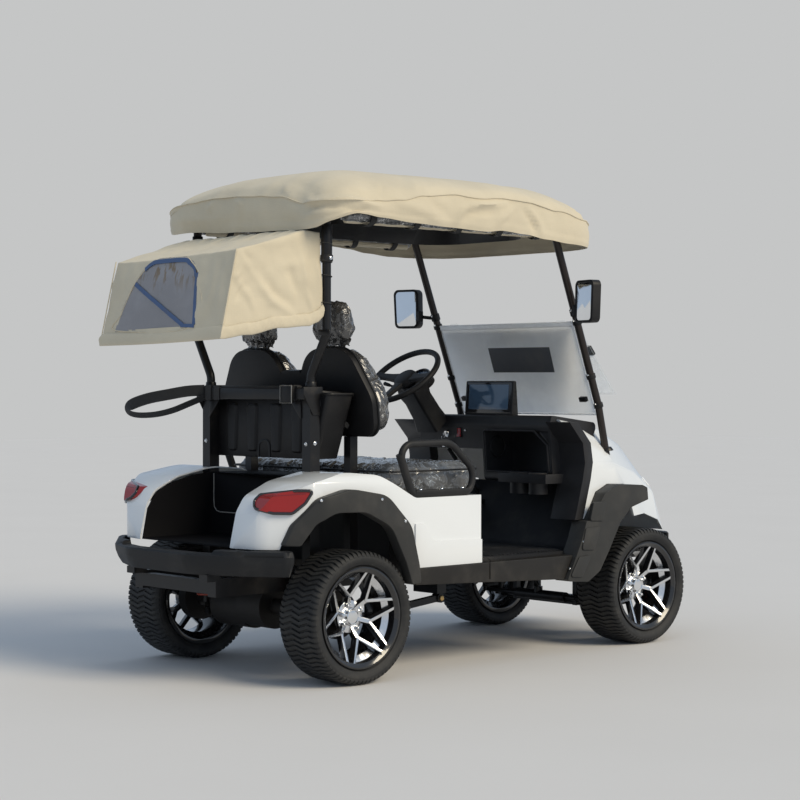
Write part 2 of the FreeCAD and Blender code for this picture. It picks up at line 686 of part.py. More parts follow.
def front_bumper():
    """Black lower nose bar that wraps back to the wheel openings."""
    outer = [(-400, F(-318), 8), (-330, F(-392), 60), (-180, F(-FRONT_OVERHANG), 120),
             (180, F(-FRONT_OVERHANG), 120), (330, F(-392), 60), (400, F(-318), 8)]
    inner = [(352, F(-318), 0), (300, F(-352), 30), (-300, F(-352), 30), (-352, F(-318), 0)]
    return prism(outer + inner, "xy", 345, 462)


def front_flares():
    """Black mudguards over the front wheels, with the lower panel behind them."""
    corners = [(F(52), 636, 4), (F(58), 688, 6), (F(90), 700, 10), (F(240), 706, 40), (F(330), 675, 40),
               (F(430), 560, 6), (F(450), 560, 6), (F(480), 482, 20), (F(511), 421, 10),
               (F(566), 322, 6), (F(552), 312, 6), (F(440), 304, 20), (F(366), 345, 40), (F(300), 440, 80),
               (F(235), 545, 80), (F(165), 606, 60)]
    panel = prism(corners, "yz", 430, 588)
    hollow = [(F(40), 600, 0), (F(62), 660, 0), (F(240), 676, 40), (F(320), 640, 40),
              (F(420), 520, 20), (F(440), 424, 20), (F(440), 280, 0), (F(40), 280, 0)]
    inside = prism(hollow, "yz", 400, 540)
    floor_side = box(400, FLOOR_HALF + CLEAR, F(250), F(700), 200, 720)
    return pair(panel.cut([inside, floor_side, hood_solid(-CLEAR)]))


def headlight(side):
    """Head lamp on the sloping front corner of the nose."""
    slab = prism([(side * 130, 640, 10), (side * 300, 660, 20), (side * 296, 716, 20),
                  (side * 190, 700, 20)], "xz", F(-420), F(-250))
    return slab.common(hood_solid(-6).cut(hood_solid(-CLEAR)))


# Cockpit
CUBBY_DEPTH = 170.0
TRIM_W = 50.0
SHELF_TOP = 752.0
CUP_R = 37.0
CUP_X = (-230.0, -340.0)
CUP_Y = 485.0
CUP_FLOOR = 670.0


def dashboard_block():
    """The dash's main form without its hollows."""
    return prism([(F(DASH_FRONT), 940, 0), (F(DASH_FRONT), 968, 20), (F(DASH_REAR), 1002, 14),
                  (F(DASH_REAR) + 12, 960, 20), (F(DASH_REAR) - 10, 712, 20), (F(300), 703, 0)],
                 "yz", -DASH_HALF, DASH_HALF)


def dashboard():
    """Dash moulding with the passenger's cubby, the cup shelf and the door-edge trims."""
    body = dashboard_block()
    cubby = box(-392, -12, F(DASH_REAR) - CUBBY_DEPTH, F(DASH_REAR) + 40, SHELF_TOP, 934)
    footwell = box(10, 600, F(100), F(600), 500, 850)
    trims = []
    front = [(F(d) + CLEAR, z, 0) for d, z in TRIM_LINE[1:-1]]
    rear = [(y + TRIM_W, z, 0) for y, z, _ in reversed(front)]
    for side in (-1, 1):
        low, high = sorted((side * DASH_HALF, side * 545))
        trims.append(prism(front + rear, "yz", low, high))
    shelf = box(-430, -150, F(DASH_REAR) - 60, F(CUP_Y) + 50, 712, SHELF_TOP)
    cups = [Part.makeCylinder(CUP_R + 5, SHELF_TOP - CUP_FLOOR, V(x, F(CUP_Y), CUP_FLOOR - 6), Z_AXIS)
            for x in CUP_X]
    holes = [Part.makeCylinder(CUP_R, SHELF_TOP - CUP_FLOOR + 10, V(x, F(CUP_Y), CUP_FLOOR), Z_AXIS)
             for x in CUP_X]
    return joined([body.cut([cubby, footwell])] + trims + [shelf] + cups).cut(holes).Solids


def display():
    """Tablet-like screen housing on the dash."""
    side = [(F(415), 995.7, 3), (F(455), 1000.5, 3), (F(445), 1150, 8), (F(428), 1150, 8)]
    return prism(side, "yz", -155, 140)


WHEEL_HUB = V(300, F(680), 1172)
COLUMN_FOOT = V(300, F(490), 942)
STEER_R = 172.0
GRIP_R = 13.0
STEER_PIN_R = 10.0


def steering_column():
    """Column from the rack to the steering wheel, with its gauge pod."""
    along = (WHEEL_HUB - COLUMN_FOOT).normalize()
    mast = rod(COLUMN_FOOT, WHEEL_HUB - along * (38 + CLEAR), 24)
    shroud = rod(COLUMN_FOOT + along * 100, WHEEL_HUB - along * 42, 40)
    pod = rod(WHEEL_HUB - along * 80 + V(0, -70, 20), WHEEL_HUB - along * 40 + V(0, -70, 20), 58)
    pin = rod(WHEEL_HUB - along * 45, WHEEL_HUB - along * 14, STEER_PIN_R)
    upper = joined([mast, shroud, pod, pin]).cut(dashboard_block())
    return [upper, rod(SHAFT_TOP, SHAFT_FOOT, SHAFT_R)]


def steering_wheel():
    """Rim, three spokes and hub, about the column's axis."""
    along = (WHEEL_HUB - COLUMN_FOOT).normalize()
    ring = Part.makeTorus(STEER_R, GRIP_R, WHEEL_HUB, along)
    hub = rod(WHEEL_HUB - along * 38, WHEEL_HUB - along * 4, 38)
    up = along.cross(X_AXIS).normalize()
    spokes = []
    for degrees in (0, 90, 180):
        a = math.radians(degrees)
        out = X_AXIS * math.cos(a) + up * math.sin(a)
        spokes.append(strip([WHEEL_HUB - along * 20, WHEEL_HUB + out * STEER_R], along.cross(out), 26, 9, 0))
    bore = rod(WHEEL_HUB - along * 40, WHEEL_HUB - along * 12, STEER_PIN_R + RUNNING_FIT)
    return joined([ring, hub] + spokes).cut(bore)


def pedals():
    """Accelerator and brake pads on arms from the toe board."""
    solids = []
    for x, width in ((150, 60), (265, 90)):
        pad = prism([(F(478), 520, 4), (F(492), 528, 4), (F(450), 630, 4), (F(436), 622, 4)],
                    "yz", x - width / 2, x + width / 2)
        arm = rod(V(x, F(455), 580), V(x, F(300), 610), 9)
        behind_board = prism([(F(268.35), TOE_TOP_Z, 0), (F(430.35), FLOOR_TOP, 0), (F(100), FLOOR_TOP, 0),
                              (F(100), TOE_TOP_Z, 0)], "yz", x - 60, x + 60)
        solids.append(joined([pad, arm]).cut(behind_board))
    return solids


# Seat
SEAT_HALF_W = BODY_HALF - SEAT_INSET
ARMREST_OUT = 46.0
CUSHION_LOW = 692.0 + CLEAR
CUSHION_TOP = 822.0
BACK_X = 238.0
BACK_TILT = 9.0
BACK_LOW = 933.0


def seat_cushion():
    """Full-width bottom cushion."""
    rear = R(DECK_FRONT) - CLEAR
    corners = [(-SEAT_HALF_W, R(-735), 60), (SEAT_HALF_W, R(-735), 60), (SEAT_HALF_W, rear, 40),
               (-SEAT_HALF_W, rear, 40)]
    return prism(corners, "xy", CUSHION_LOW, CUSHION_TOP)


def tilted(shape):
    """Lean a seat-back piece to the rear about the seat's lower edge."""
    return shape.rotated(V(0, R(-200), BACK_LOW), X_AXIS, -BACK_TILT)


def back_outline(side):
    """Front outline of one seat back."""
    x = side * BACK_X
    return [(x - 226, BACK_LOW, 60), (x + 226, BACK_LOW, 60), (x + 236, 1080, 120), (x + 120, 1282, 130),
            (x - 120, 1282, 130), (x - 236, 1080, 120)]


def seat_backs():
    """Two back cushions, each with a head rest."""
    solids = []
    for side in (-1, 1):
        pad = prism(back_outline(side), "xz", R(-300), R(-200))
        head = prism([(side * BACK_X - 95, 1300, 40), (side * BACK_X + 95, 1300, 40),
                      (side * BACK_X + 105, 1462, 60), (side * BACK_X - 105, 1462, 60)],
                     "xz", R(-270), R(-180))
        stems = [rod(V(side * BACK_X + dx, R(-225), 1270), V(side * BACK_X + dx, R(-225), 1310), 7)
                 for dx in (-45, 45)]
        solids.append(tilted(joined([pad, head] + stems)))
    return solids


def seat_shells():
    """Black moulded shell behind both back cushions."""
    halves = [prism(back_outline(side), "xz", R(-200) + CLEAR, R(-172)) for side in (-1, 1)]
    web = prism([(-60, BACK_LOW, 0), (60, BACK_LOW, 0), (60, 1195, 10), (-60, 1195, 10)],
                "xz", R(-200) + CLEAR, R(-172))
    return tilted(joined(halves + [web]))


def seat_supports():
    """Square uprights from the seat deck to the shell."""
    half = SUPPORT_W / 2
    return pair(box(SUPPORT_X - half, SUPPORT_X + half, R(SUPPORT_Y) - half, R(SUPPORT_Y) + half,
                    RAIL_TOP + CLEAR, BACK_LOW - 4.7))


def armrests():
    """Closed hip restraint loop beside each end of the seat."""
    x = SEAT_HALF_W + ARMREST_OUT
    low = 692 + 13 + CLEAR
    loop = [(R(-215), 900), (R(-292), low), (R(-606), low), (R(-634), 786), (R(-500), 905)]
    path = rounded_path([(V(x, y, z), 34) for y, z in loop], True)
    start = path.Vertexes[0].Point
    edge = path.Edges[0]
    ring = Part.Wire(Part.Circle(start, edge.tangentAt(edge.FirstParameter), 13).toShape())
    return pair(path.makePipeShell([ring], True, False))


# Upper works
POST_TOP = 1118.0
UPPER_X = 410.0
UPPER_R = 17.0
ROOF_UNDER = 1745.0
FRONT_POST_X = 432.0
FRONT_POST_R = 16.0


def rear_posts():
    """Square lower posts with round upper tubes that flare out to the roof."""
    lower = box(POST_X - POST_W / 2, POST_X + POST_W / 2, R(POST_Y) - POST_W / 2, R(POST_Y) + POST_W / 2,
                RAIL_TOP + CLEAR, POST_TOP)
    upper = tube([V(POST_X, R(POST_Y), POST_TOP - 60), V(POST_X, R(POST_Y), 1165),
                  V(UPPER_X, R(POST_Y), 1325), V(UPPER_X, R(POST_Y), ROOF_UNDER)], UPPER_R, 60)
    return pair(joined([lower, upper]))


def front_post_line(z):
    """Point on the front post's slanted upper line at one height."""
    share = (z - 1046) / (1747 - 1046)
    return V(FRONT_POST_X, F(203) + share * (475 - 203), z)


def front_posts():
    """Slanted front posts with their feet on the cowl."""
    foot = V(FRONT_POST_X, F(148), 820)
    knee = front_post_line(1046)
    top = front_post_line(ROOF_UNDER + 20)
    post = tube([foot, knee, top], FRONT_POST_R, 200)
    above = box(300, 600, F(300), F(700), ROOF_UNDER, ROOF_UNDER + 100)
    return pair(post.cut([hood_solid(-CLEAR), above]))


ROOF_FRONT = 205.0
ROOF_REAR = 130.0
ROOF_HALF = 562.0


COVER_T = 5.0
ROOF_LIP = 26.0
ROOF_CROWN = (
    # distance in from the edge, height of the fabric's outer face
    (0, 1715), (0, 1858), (34, 1900), (120, 1944), (250, 1974), (400, 1985),
)
CEILING = (
    # distance in from the edge, height of the dished underside
    (252, 1740), (258, 1762), (300, 1850), (380, 1888),
)

# Rolled side curtains, each in a channel of the roof
ROLL_X = 450.0
ROLL_Z = 1772.0
ROLL_R = 30.0
ROLL_FRONT = 512.0
ROLL_REAR = -15.0


def roof_plan(inset):
    """Plan outline of the roof, drawn in by an inset."""
    w = ROOF_HALF - inset
    y0 = F(ROOF_FRONT) + inset
    y1 = R(ROOF_REAR) - inset
    front_radius = 340 - 0.7 * inset
    rear_radius = 150 - 0.3 * inset
    return [(-w, y0, front_radius), (w, y0, front_radius), (w, y1, rear_radius), (-w, y1, rear_radius)]


def roof_loft(levels, offset):
    """Domed solid through the roof's plan at each level, drawn in and lowered by an offset."""
    return Part.makeLoft([outline(roof_plan(inset + offset), "xy", z - offset) for inset, z in levels],
                         True, True)


def roof_panel():
    """Moulded roof that the posts carry: domed above, dished below inside a channelled border."""
    edge = ROOF_CROWN[0][1]
    below = box(-700, 700, F(0), R(400), 1600, edge)
    under = prism(roof_plan(ROOF_LIP), "xy", edge - 10, ROOF_UNDER + CLEAR)
    channels = pair(box(ROLL_X - ROLL_R - 5, ROLL_X + ROLL_R + 5, F(ROLL_FRONT) - 6, R(ROLL_REAR) + 6,
                        edge, ROLL_Z + ROLL_R + CLEAR))
    return roof_loft(ROOF_CROWN, COVER_T + CLEAR).cut([below, under, roof_loft(CEILING, 0)] + channels)


def roof_cover():
    """Fabric cover drawn over the roof, open below."""
    inside = [(0, ROOF_CROWN[0][1] - 40)] + list(ROOF_CROWN[1:])
    return roof_loft(ROOF_CROWN, 0).cut(roof_loft(inside, COVER_T))


BAG_HALF = 412.0


def bag_cover():
    """Fabric hood behind the roof over the bags, open below and in front."""
    t = 8
    front = R(52)
    top = 1715 - CLEAR
    outer = [(front, 1393, 0), (front, top, 0), (R(128), top, 0), (R(438), 1625, 20), (R(510), 1290, 0)]
    inner = [(front - 20, 1300, 0), (front - 20, top - t, 0), (R(128) - t, top - t, 0),
             (R(438) - t, 1625 - t, 20), (R(510) - t, 1200, 0)]
    shell = prism(outer, "yz", -BAG_HALF, BAG_HALF)
    return shell.cut(prism(inner, "yz", -BAG_HALF + t, BAG_HALF - t))


def windshield():
    """Lower pane between the posts, and the upper pane folded down before it."""
    half = FRONT_POST_X - FRONT_POST_R - CLEAR
    low = front_post_line(1000)
    high = front_post_line(1405)
    lower = strip([V(0, low.y, low.z), V(0, high.y, high.z)], X_AXIS, 2 * half, 6, 0)
    hinge = V(0, high.y - 14, high.z - 4)
    tip = V(0, F(66), 1092)
    upper = strip([hinge, tip], X_AXIS, 2 * half, 6, 0)
    clips = [rod(V(x - 20, high.y - 7, high.z), V(x + 20, high.y - 7, high.z), 9) for x in (-330, 330)]
    return joined([lower, upper] + clips)


def mirrors():
    """Side mirrors on arms from the front posts."""
    post = front_post_line(1440)
    head = prism([(488, 1395, 25), (618, 1395, 25), (628, 1575, 25), (492, 1575, 25)],
                 "xz", F(392), F(432))
    head.rotate(V(555, F(412), 1485), Z_AXIS, 14)
    arm = rod(V(FRONT_POST_X, post.y, 1440), V(510, F(408), 1450), 8)
    sleeve = rod(front_post_line(1300), front_post_line(1600), FRONT_POST_R + CLEAR)
    return pair(joined([head, arm]).cut(sleeve))


def basket():
    """Open-topped basket between the seat shells and the rear posts."""
    def level(z, half, y0, y1):
        return outline([(-half, R(y0), 20), (half, R(y0), 20), (half, R(y1), 20), (-half, R(y1), 20)],
                       "xy", z)
    outer = Part.makeLoft([level(842, 312, -120, 2.7), level(1096, 396, -130, 2.7)], True, True)
    inner = Part.makeLoft([level(850, 306, -114, -6), level(1100, 390, -124, -6)], True, True)
    return outer.cut(inner)


def bag_rack():
    """Cross bar between the rear posts, with stays to the seat shell."""
    bar = box(-POST_X - POST_W / 2, POST_X + POST_W / 2, R(POST_Y) + POST_W / 2 + CLEAR,
              R(POST_Y) + POST_W / 2 + 32, 1072, 1118)
    return bar


def bag_straps():
    """Webbing loop on the left and buckle strap on the right of the cross bar."""
    y = R(POST_Y) + POST_W / 2 + 32
    outer = [(290, y + CLEAR, 0), (314, y + CLEAR, 0), (472, y + 150, 60), (502, y + 262, 32),
             (420, y + 250, 56), (294, y + 40, 20)]
    inner = [(299, y + 6, 2), (311, y + 6, 2), (465, y + 152, 56), (495, y + 256, 27),
             (423, y + 244, 50), (300, y + 38, 16)]
    loop = prism(outer, "xy", 1052, 1092).cut(prism(inner, "xy", 1000, 1150))
    buckle = box(-285, -225, y, y + 22, 1062, 1124)
    return [loop, buckle]


def curtain_rolls():
    """Rolled side curtains hung up under the roof on each side."""
    return pair(rod(V(ROLL_X, F(ROLL_FRONT), ROLL_Z), V(ROLL_X, R(ROLL_REAR), ROLL_Z), ROLL_R))


# Battery
BATTERY_TOP = 640.0


def battery_pack():
    """Battery block between the rails below the seat."""
    return box(-RAIL_X - 150, RAIL_X + 150, R(-610), R(-320), RAIL_TOP + CLEAR, BATTERY_TOP)


def build():
    """All nodes: name to solid or list of solids."""
    nodes = {
        "chassis_frame": chassis_frame(),
        "front_subframe": front_subframe(),
        "front_suspension": front_suspension(),
        "knuckle_left": knuckle(1),
        "knuckle_right": knuckle(-1),
        "tie_rods": tie_rods(),
        "rear_axle": rear_axle(),
        "rear_suspension": rear_suspension(),
        "floor_pan": floor_pan(),
        "sills": sills(),
        "rear_body": rear_body(),
        "bag_well": bag_well(),
        "rear_flares": rear_flares(),
        "rear_bumper": rear_bumper(),
        "taillights": [taillight(1), taillight(-1)],
        "front_cowl": front_cowl(),
        "front_bumper": front_bumper(),
        "front_flares": front_flares(),
        "headlights": [headlight(1), headlight(-1)],
        "dashboard": dashboard(),
        "display": display(),
        "steering_column": steering_column(),
        "steering_wheel": steering_wheel(),
        "pedals": pedals(),
        "seat_cushion": seat_cushion(),
        "seat_backs": seat_backs(),
        "seat_shells": seat_shells(),
        "seat_supports": seat_supports(),
        "armrests": armrests(),
        "rear_posts": rear_posts(),
        "front_posts": front_posts(),
        "roof_panel": roof_panel(),
        "roof_cover": roof_cover(),
        "bag_cover": bag_cover(),
        "windshield": windshield(),
        "mirrors": mirrors(),
        "basket": basket(),
        "bag_rack": bag_rack(),
        "bag_straps": bag_straps(),
        "curtain_rolls": curtain_rolls(),
        "battery_pack": battery_pack(),
    }
    tyre_shape = tyre()
    rim_shape = rim()
    for name, side, track, axle in WHEELS:
        nodes["tyre_" + name] = placed_wheel(tyre_shape, side, track, axle)
        nodes["rim_" + name] = placed_wheel(rim_shape, side, track, axle)
    return nodes


def export(nodes):
    """Write one STEP file for each node."""
    os.makedirs("parts", exist_ok=True)
    for name, shape in nodes.items():
        solid = Part.makeCompound(shape) if isinstance(shape, list) else shape
        solid.exportStep(f"parts/{name}.step")


if __name__ == "__main__":
    export(build())
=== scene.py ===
"""Looks of a two-seat electric golf cart with fabric rain covers, built round its CAD frame.

Metres, +Z up, the ground at Z = 0. The cart drives towards -Y and its left (driver's) side is +X.
"""
import json
import logging
import math
from contextlib import contextmanager
from dataclasses import dataclass
from enum import Enum
from typing import Callable, Iterator, Optional, Sequence, Union

import bpy
import numpy as np
from mathutils import Matrix, Vector, noise
from mathutils.bvhtree import BVHTree

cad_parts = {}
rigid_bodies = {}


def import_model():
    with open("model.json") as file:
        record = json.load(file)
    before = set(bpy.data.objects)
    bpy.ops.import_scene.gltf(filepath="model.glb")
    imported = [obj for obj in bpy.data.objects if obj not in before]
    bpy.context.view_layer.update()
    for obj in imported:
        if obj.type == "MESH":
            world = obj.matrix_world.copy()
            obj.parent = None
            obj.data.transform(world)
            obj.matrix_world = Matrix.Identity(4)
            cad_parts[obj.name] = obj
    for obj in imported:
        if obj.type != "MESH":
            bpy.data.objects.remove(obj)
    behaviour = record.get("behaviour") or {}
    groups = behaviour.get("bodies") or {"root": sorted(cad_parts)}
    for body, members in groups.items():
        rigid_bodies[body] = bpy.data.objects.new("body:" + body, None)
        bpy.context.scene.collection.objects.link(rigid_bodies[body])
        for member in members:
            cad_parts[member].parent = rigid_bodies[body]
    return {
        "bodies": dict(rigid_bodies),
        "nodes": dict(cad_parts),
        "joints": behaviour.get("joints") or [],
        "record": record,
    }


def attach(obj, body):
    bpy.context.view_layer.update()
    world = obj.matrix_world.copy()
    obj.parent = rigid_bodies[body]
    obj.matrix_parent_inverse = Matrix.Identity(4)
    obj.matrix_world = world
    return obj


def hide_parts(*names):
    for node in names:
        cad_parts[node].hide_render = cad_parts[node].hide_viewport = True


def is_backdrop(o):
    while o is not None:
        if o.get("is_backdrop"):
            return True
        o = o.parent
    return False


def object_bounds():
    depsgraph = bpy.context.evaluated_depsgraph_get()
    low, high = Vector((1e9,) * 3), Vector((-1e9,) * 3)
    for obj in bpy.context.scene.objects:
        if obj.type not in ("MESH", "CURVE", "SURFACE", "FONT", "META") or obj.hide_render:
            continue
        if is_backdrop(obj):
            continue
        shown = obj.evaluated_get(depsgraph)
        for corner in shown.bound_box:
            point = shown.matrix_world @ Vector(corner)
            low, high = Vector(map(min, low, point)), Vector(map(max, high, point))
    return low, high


LOG = logging.getLogger("cart")
Number = Union[int, float]
Point = Sequence[float]
Piece = bpy.types.Object

REAR_AXLE = 0.7975
FRONT_AXLE = -0.9125


def rear(offset: float) -> float:
    """Y of a station so many millimetres behind the rear axle."""
    return REAR_AXLE + offset / 1000


def front(offset: float) -> float:
    """Y of a station so many millimetres behind the front axle."""
    return FRONT_AXLE + offset / 1000


class Side(Enum):
    """Side of the cart."""

    LEFT = 1
    RIGHT = -1

    @property
    def tag(self) -> str:
        """The side's part of a piece's name."""
        return self.name.lower()


# Shader maths

class Val:
    """A socket's value inside one shader tree, with arithmetic that adds Math nodes."""

    def __init__(self, tree: "Tree", socket: bpy.types.NodeSocket) -> None:
        """Keep the tree and the output socket."""
        self.tree = tree
        self.socket = socket

    def _math(self, operation: str, a: Union["Val", Number], b: Union["Val", Number, None] = None) -> "Val":
        """One Math node.

        Args:
            operation: The node's operation.
            a: First value.
            b: Second value, if the operation has one.

        Returns:
            The node's value.
        """
        inputs = {0: a} if b is None else {0: a, 1: b}
        return self.tree.node("ShaderNodeMath", {"operation": operation}, inputs)

    def __add__(self, other: Union["Val", Number]) -> "Val":
        """Sum."""
        return self._math("ADD", self, other)

    def __radd__(self, other: Number) -> "Val":
        """Sum with a number on the left."""
        return self._math("ADD", other, self)

    def __sub__(self, other: Union["Val", Number]) -> "Val":
        """Difference."""
        return self._math("SUBTRACT", self, other)

    def __rsub__(self, other: Number) -> "Val":
        """Difference from a number on the left."""
        return self._math("SUBTRACT", other, self)

    def __mul__(self, other: Union["Val", Number]) -> "Val":
        """Product."""
        return self._math("MULTIPLY", self, other)

    def __abs__(self) -> "Val":
        """Size without sign."""
        return self._math("ABSOLUTE", self)

    def step(self, low: float, high: float) -> "Val":
        """Smooth rise from nought at low to one at high."""
        return self.tree.node("ShaderNodeMapRange", {"interpolation_type": "SMOOTHSTEP"},
                              {0: self, 1: low, 2: high, 3: 0.0, 4: 1.0})

    def wave(self) -> "Val":
        """Sine of the value."""
        return self._math("SINE", self)


class Tree:
    """Shader tree of one material."""

    def __init__(self, name: str) -> None:
        """Start an empty tree with its output node."""
        self.material = bpy.data.materials.new(name)
        self.material.use_nodes = True
        self.nodes = self.material.node_tree.nodes
        self.links = self.material.node_tree.links
        self.nodes.clear()
        self.out = self.nodes.new("ShaderNodeOutputMaterial")

    def node(self, kind: str, settings: Optional[dict] = None, inputs: Optional[dict] = None,
             output: Union[int, str] = 0) -> Val:
        """Add any node.

        Args:
            kind: Node type.
            settings: Attributes set first; "stops" fills a ramp.
            inputs: Values or links of its sockets, by name or number.
            output: Which output is returned.

        Returns:
            The value of one output.
        """
        made = self.nodes.new(kind)
        for key, value in (settings or {}).items():
            if key == "stops":
                ramp = made.color_ramp.elements
                while len(ramp) < len(value):
                    ramp.new(0.5)
                for element, (place, colour) in zip(ramp, value):
                    element.position = place
                    element.color = (*colour, 1)
            else:
                setattr(made, key, value)
        for key, value in (inputs or {}).items():
            socket = made.inputs[key]
            if isinstance(value, Val):
                self.links.new(value.socket, socket)
            elif isinstance(value, (tuple, list)) and len(value) == 3 and socket.type == "RGBA":
                socket.default_value = (*value, 1)
            else:
                socket.default_value = value
        return Val(self, made.outputs[output])

    def place(self, scale: Point = (1, 1, 1)) -> Val:
        """Object coordinates, stretched by a scale."""
        where = self.node("ShaderNodeTexCoord", output="Object")
        return self.node("ShaderNodeMapping", inputs={"Vector": where, "Scale": tuple(scale)})

    def axes(self, vector: Val) -> tuple[Val, Val, Val]:
        """X, Y and Z of a vector."""
        first = self.node("ShaderNodeSeparateXYZ", inputs={0: vector})
        outs = first.socket.node.outputs
        return first, Val(self, outs[1]), Val(self, outs[2])

    def noise(self, scale: float, detail: float = 3, rough: float = 0.5, stretch: Point = (1, 1, 1)) -> Val:
        """Noise from 0 to 1 at so many cells a metre."""
        return self.node("ShaderNodeTexNoise", inputs={
            "Vector": self.place(stretch), "Scale": scale, "Detail": detail, "Roughness": rough})

    def mix(self, share: Union[Val, float], a: Union[Val, Point], b: Union[Val, Point]) -> Val:
        """Colour between a and b."""
        return self.node("ShaderNodeMix", {"data_type": "RGBA"}, {0: share, 6: a, 7: b}, output=2)

    def bump(self, height: Val, depth: float, strength: float, below: Optional[Val] = None) -> Val:
        """Normal from a height of 0 to 1 that stands for a depth in metres."""
        inputs = {"Height": height, "Distance": depth, "Strength": strength}
        if below is not None:
            inputs["Normal"] = below
        return self.node("ShaderNodeBump", {}, inputs)

    def surface(self, **inputs: object) -> bpy.types.Material:
        """Finish with one Principled surface.

        Args:
            **inputs: Socket values, with _ for a space.

        Returns:
            The material.
        """
        names = {key.replace("_", " "): value for key, value in inputs.items()}
        shader = self.node("ShaderNodeBsdfPrincipled", {}, names)
        self.links.new(shader.socket, self.out.inputs[0])
        return self.material


def shade(colour: Point, factor: float) -> tuple[float, float, float]:
    """A lighter or darker colour."""
    return tuple(min(1.0, c * factor) for c in colour)


# Finishes

@dataclass(frozen=True)
class Paint:
    """Glossy body paint with a little dust low down."""

    name: str = "white_paint"
    colour: Point = (0.78, 0.80, 0.81)
    roughness: float = 0.16
    slot: str = "white_paint"

    def make(self) -> bpy.types.Material:
        """Build the material."""
        t = Tree(self.name)
        low = 1 - t.axes(t.place())[2].step(0.42, 0.75)
        dust = low * t.noise(2.5, 4).step(0.45, 0.8) * 0.10
        colour = t.mix(dust, self.colour, (0.50, 0.46, 0.40))
        peel = t.noise(420, 1)
        return t.surface(Base_Color=colour, Roughness=self.roughness + dust * 0.9 + t.noise(30) * 0.05,
                         Coat_Weight=0.5, Coat_Roughness=0.06, Normal=t.bump(peel, 0.00006, 0.4))


@dataclass(frozen=True)
class Moulded:
    """Moulded plastic with a fine grain, scuffs and dust."""

    name: str = "black_plastic"
    colour: Point = (0.025, 0.025, 0.027)
    roughness: float = 0.48
    grain: float = 1500.0
    depth: float = 0.00012
    dust: float = 0.25
    sheen: float = 0.3
    slot: str = "black_plastic"

    def make(self) -> bpy.types.Material:
        """Build the material."""
        t = Tree(self.name)
        haze = t.noise(7, 6, 0.6).step(0.45, 0.8) * self.dust
        fleck = t.noise(260, 2).step(0.55, 0.7) * 0.12
        colour = t.mix(haze + fleck * haze, self.colour, (0.17, 0.155, 0.135))
        return t.surface(Base_Color=colour, Roughness=self.roughness + haze * 0.4 + t.noise(40) * 0.08,
                         Specular_IOR_Level=self.sheen,
                         Normal=t.bump(t.noise(self.grain, 2), self.depth, 0.6))


@dataclass(frozen=True)
class Steel:
    """Powder-coated steel with dirt and faint chips."""

    name: str = "black_steel"
    colour: Point = (0.018, 0.018, 0.020)
    roughness: float = 0.35
    slot: str = "black_steel"

    def make(self) -> bpy.types.Material:
        """Build the material."""
        t = Tree(self.name)
        dirt = t.noise(14, 6, 0.65).step(0.5, 0.8) * 0.2
        colour = t.mix(dirt, self.colour, (0.09, 0.075, 0.06))
        return t.surface(Base_Color=colour, Roughness=self.roughness + dirt * 0.7,
                         Specular_IOR_Level=0.35, Normal=t.bump(t.noise(700, 2), 0.00006, 0.5))


@dataclass(frozen=True)
class Fabric:
    """Woven cover cloth: fine plain weave, soft creases and a tone that varies at random."""

    name: str = "cream_fabric"
    colour: Point = (0.64, 0.565, 0.42)
    threads: float = 900.0
    crease: float = 0.006
    slot: str = "cream_fabric"

    def make(self) -> bpy.types.Material:
        """Build the material."""
        t = Tree(self.name)
        x, y, z = t.axes(t.place())
        weave = (x * self.threads).wave() * (y * self.threads).wave() * 0.5 + (z * self.threads).wave() * 0.25
        tone = t.noise(3.2, 5, 0.6)
        colour = t.mix(tone.step(0.3, 0.75), shade(self.colour, 0.93), shade(self.colour, 1.05))
        colour = t.mix((weave + 0.5) * 0.10, colour, shade(self.colour, 0.72))
        soft = t.noise(7.5, 3, 0.55, (1, 1, 1.8))
        creases = t.bump(soft, self.crease, 0.55)
        return t.surface(Base_Color=colour, Roughness=0.88 + tone * 0.06, Sheen_Weight=0.15,
                         Normal=t.bump(weave, 0.00025, 0.5, creases))


@dataclass(frozen=True)
class Webbing:
    """Black woven strap."""

    name: str = "webbing"
    colour: Point = (0.02, 0.02, 0.021)
    slot: str = "webbing"

    def make(self) -> bpy.types.Material:
        """Build the material."""
        t = Tree(self.name)
        x, y, z = t.axes(t.place())
        rib = ((x + y) * 1600).wave() * (z * 1600).wave()
        colour = t.mix(t.noise(18, 4) * 0.5, self.colour, (0.06, 0.06, 0.06))
        return t.surface(Base_Color=colour, Roughness=0.75 + rib * 0.05, Normal=t.bump(rib, 0.0003, 0.7))


@dataclass(frozen=True)
class Rubber:
    """Tyre rubber with a dusty tread."""

    name: str = "tyre"
    colour: Point = (0.012, 0.0125, 0.0135)
    slot: str = "tyre"

    def make(self) -> bpy.types.Material:
        """Build the material."""
        t = Tree(self.name)
        dust = t.noise(16, 6, 0.65).step(0.4, 0.85) * 0.2
        colour = t.mix(dust, self.colour, (0.15, 0.14, 0.12))
        return t.surface(Base_Color=colour, Roughness=0.68 + dust * 0.4,
                         Normal=t.bump(t.noise(900, 3), 0.00015, 0.6))


@dataclass(frozen=True)
class Metal:
    """Bare, machined or plated metal."""

    name: str = "machined_face"
    colour: Point = (0.80, 0.81, 0.83)
    roughness: float = 0.22
    slot: str = "black_steel"

    def make(self) -> bpy.types.Material:
        """Build the material."""
        t = Tree(self.name)
        lines = t.noise(600, 2, 0.5)
        return t.surface(Base_Color=t.mix(t.noise(25, 4) * 0.5, self.colour, shade(self.colour, 0.8)),
                         Metallic=1.0, Roughness=self.roughness + lines * 0.08,
                         Normal=t.bump(lines, 0.00003, 0.4))


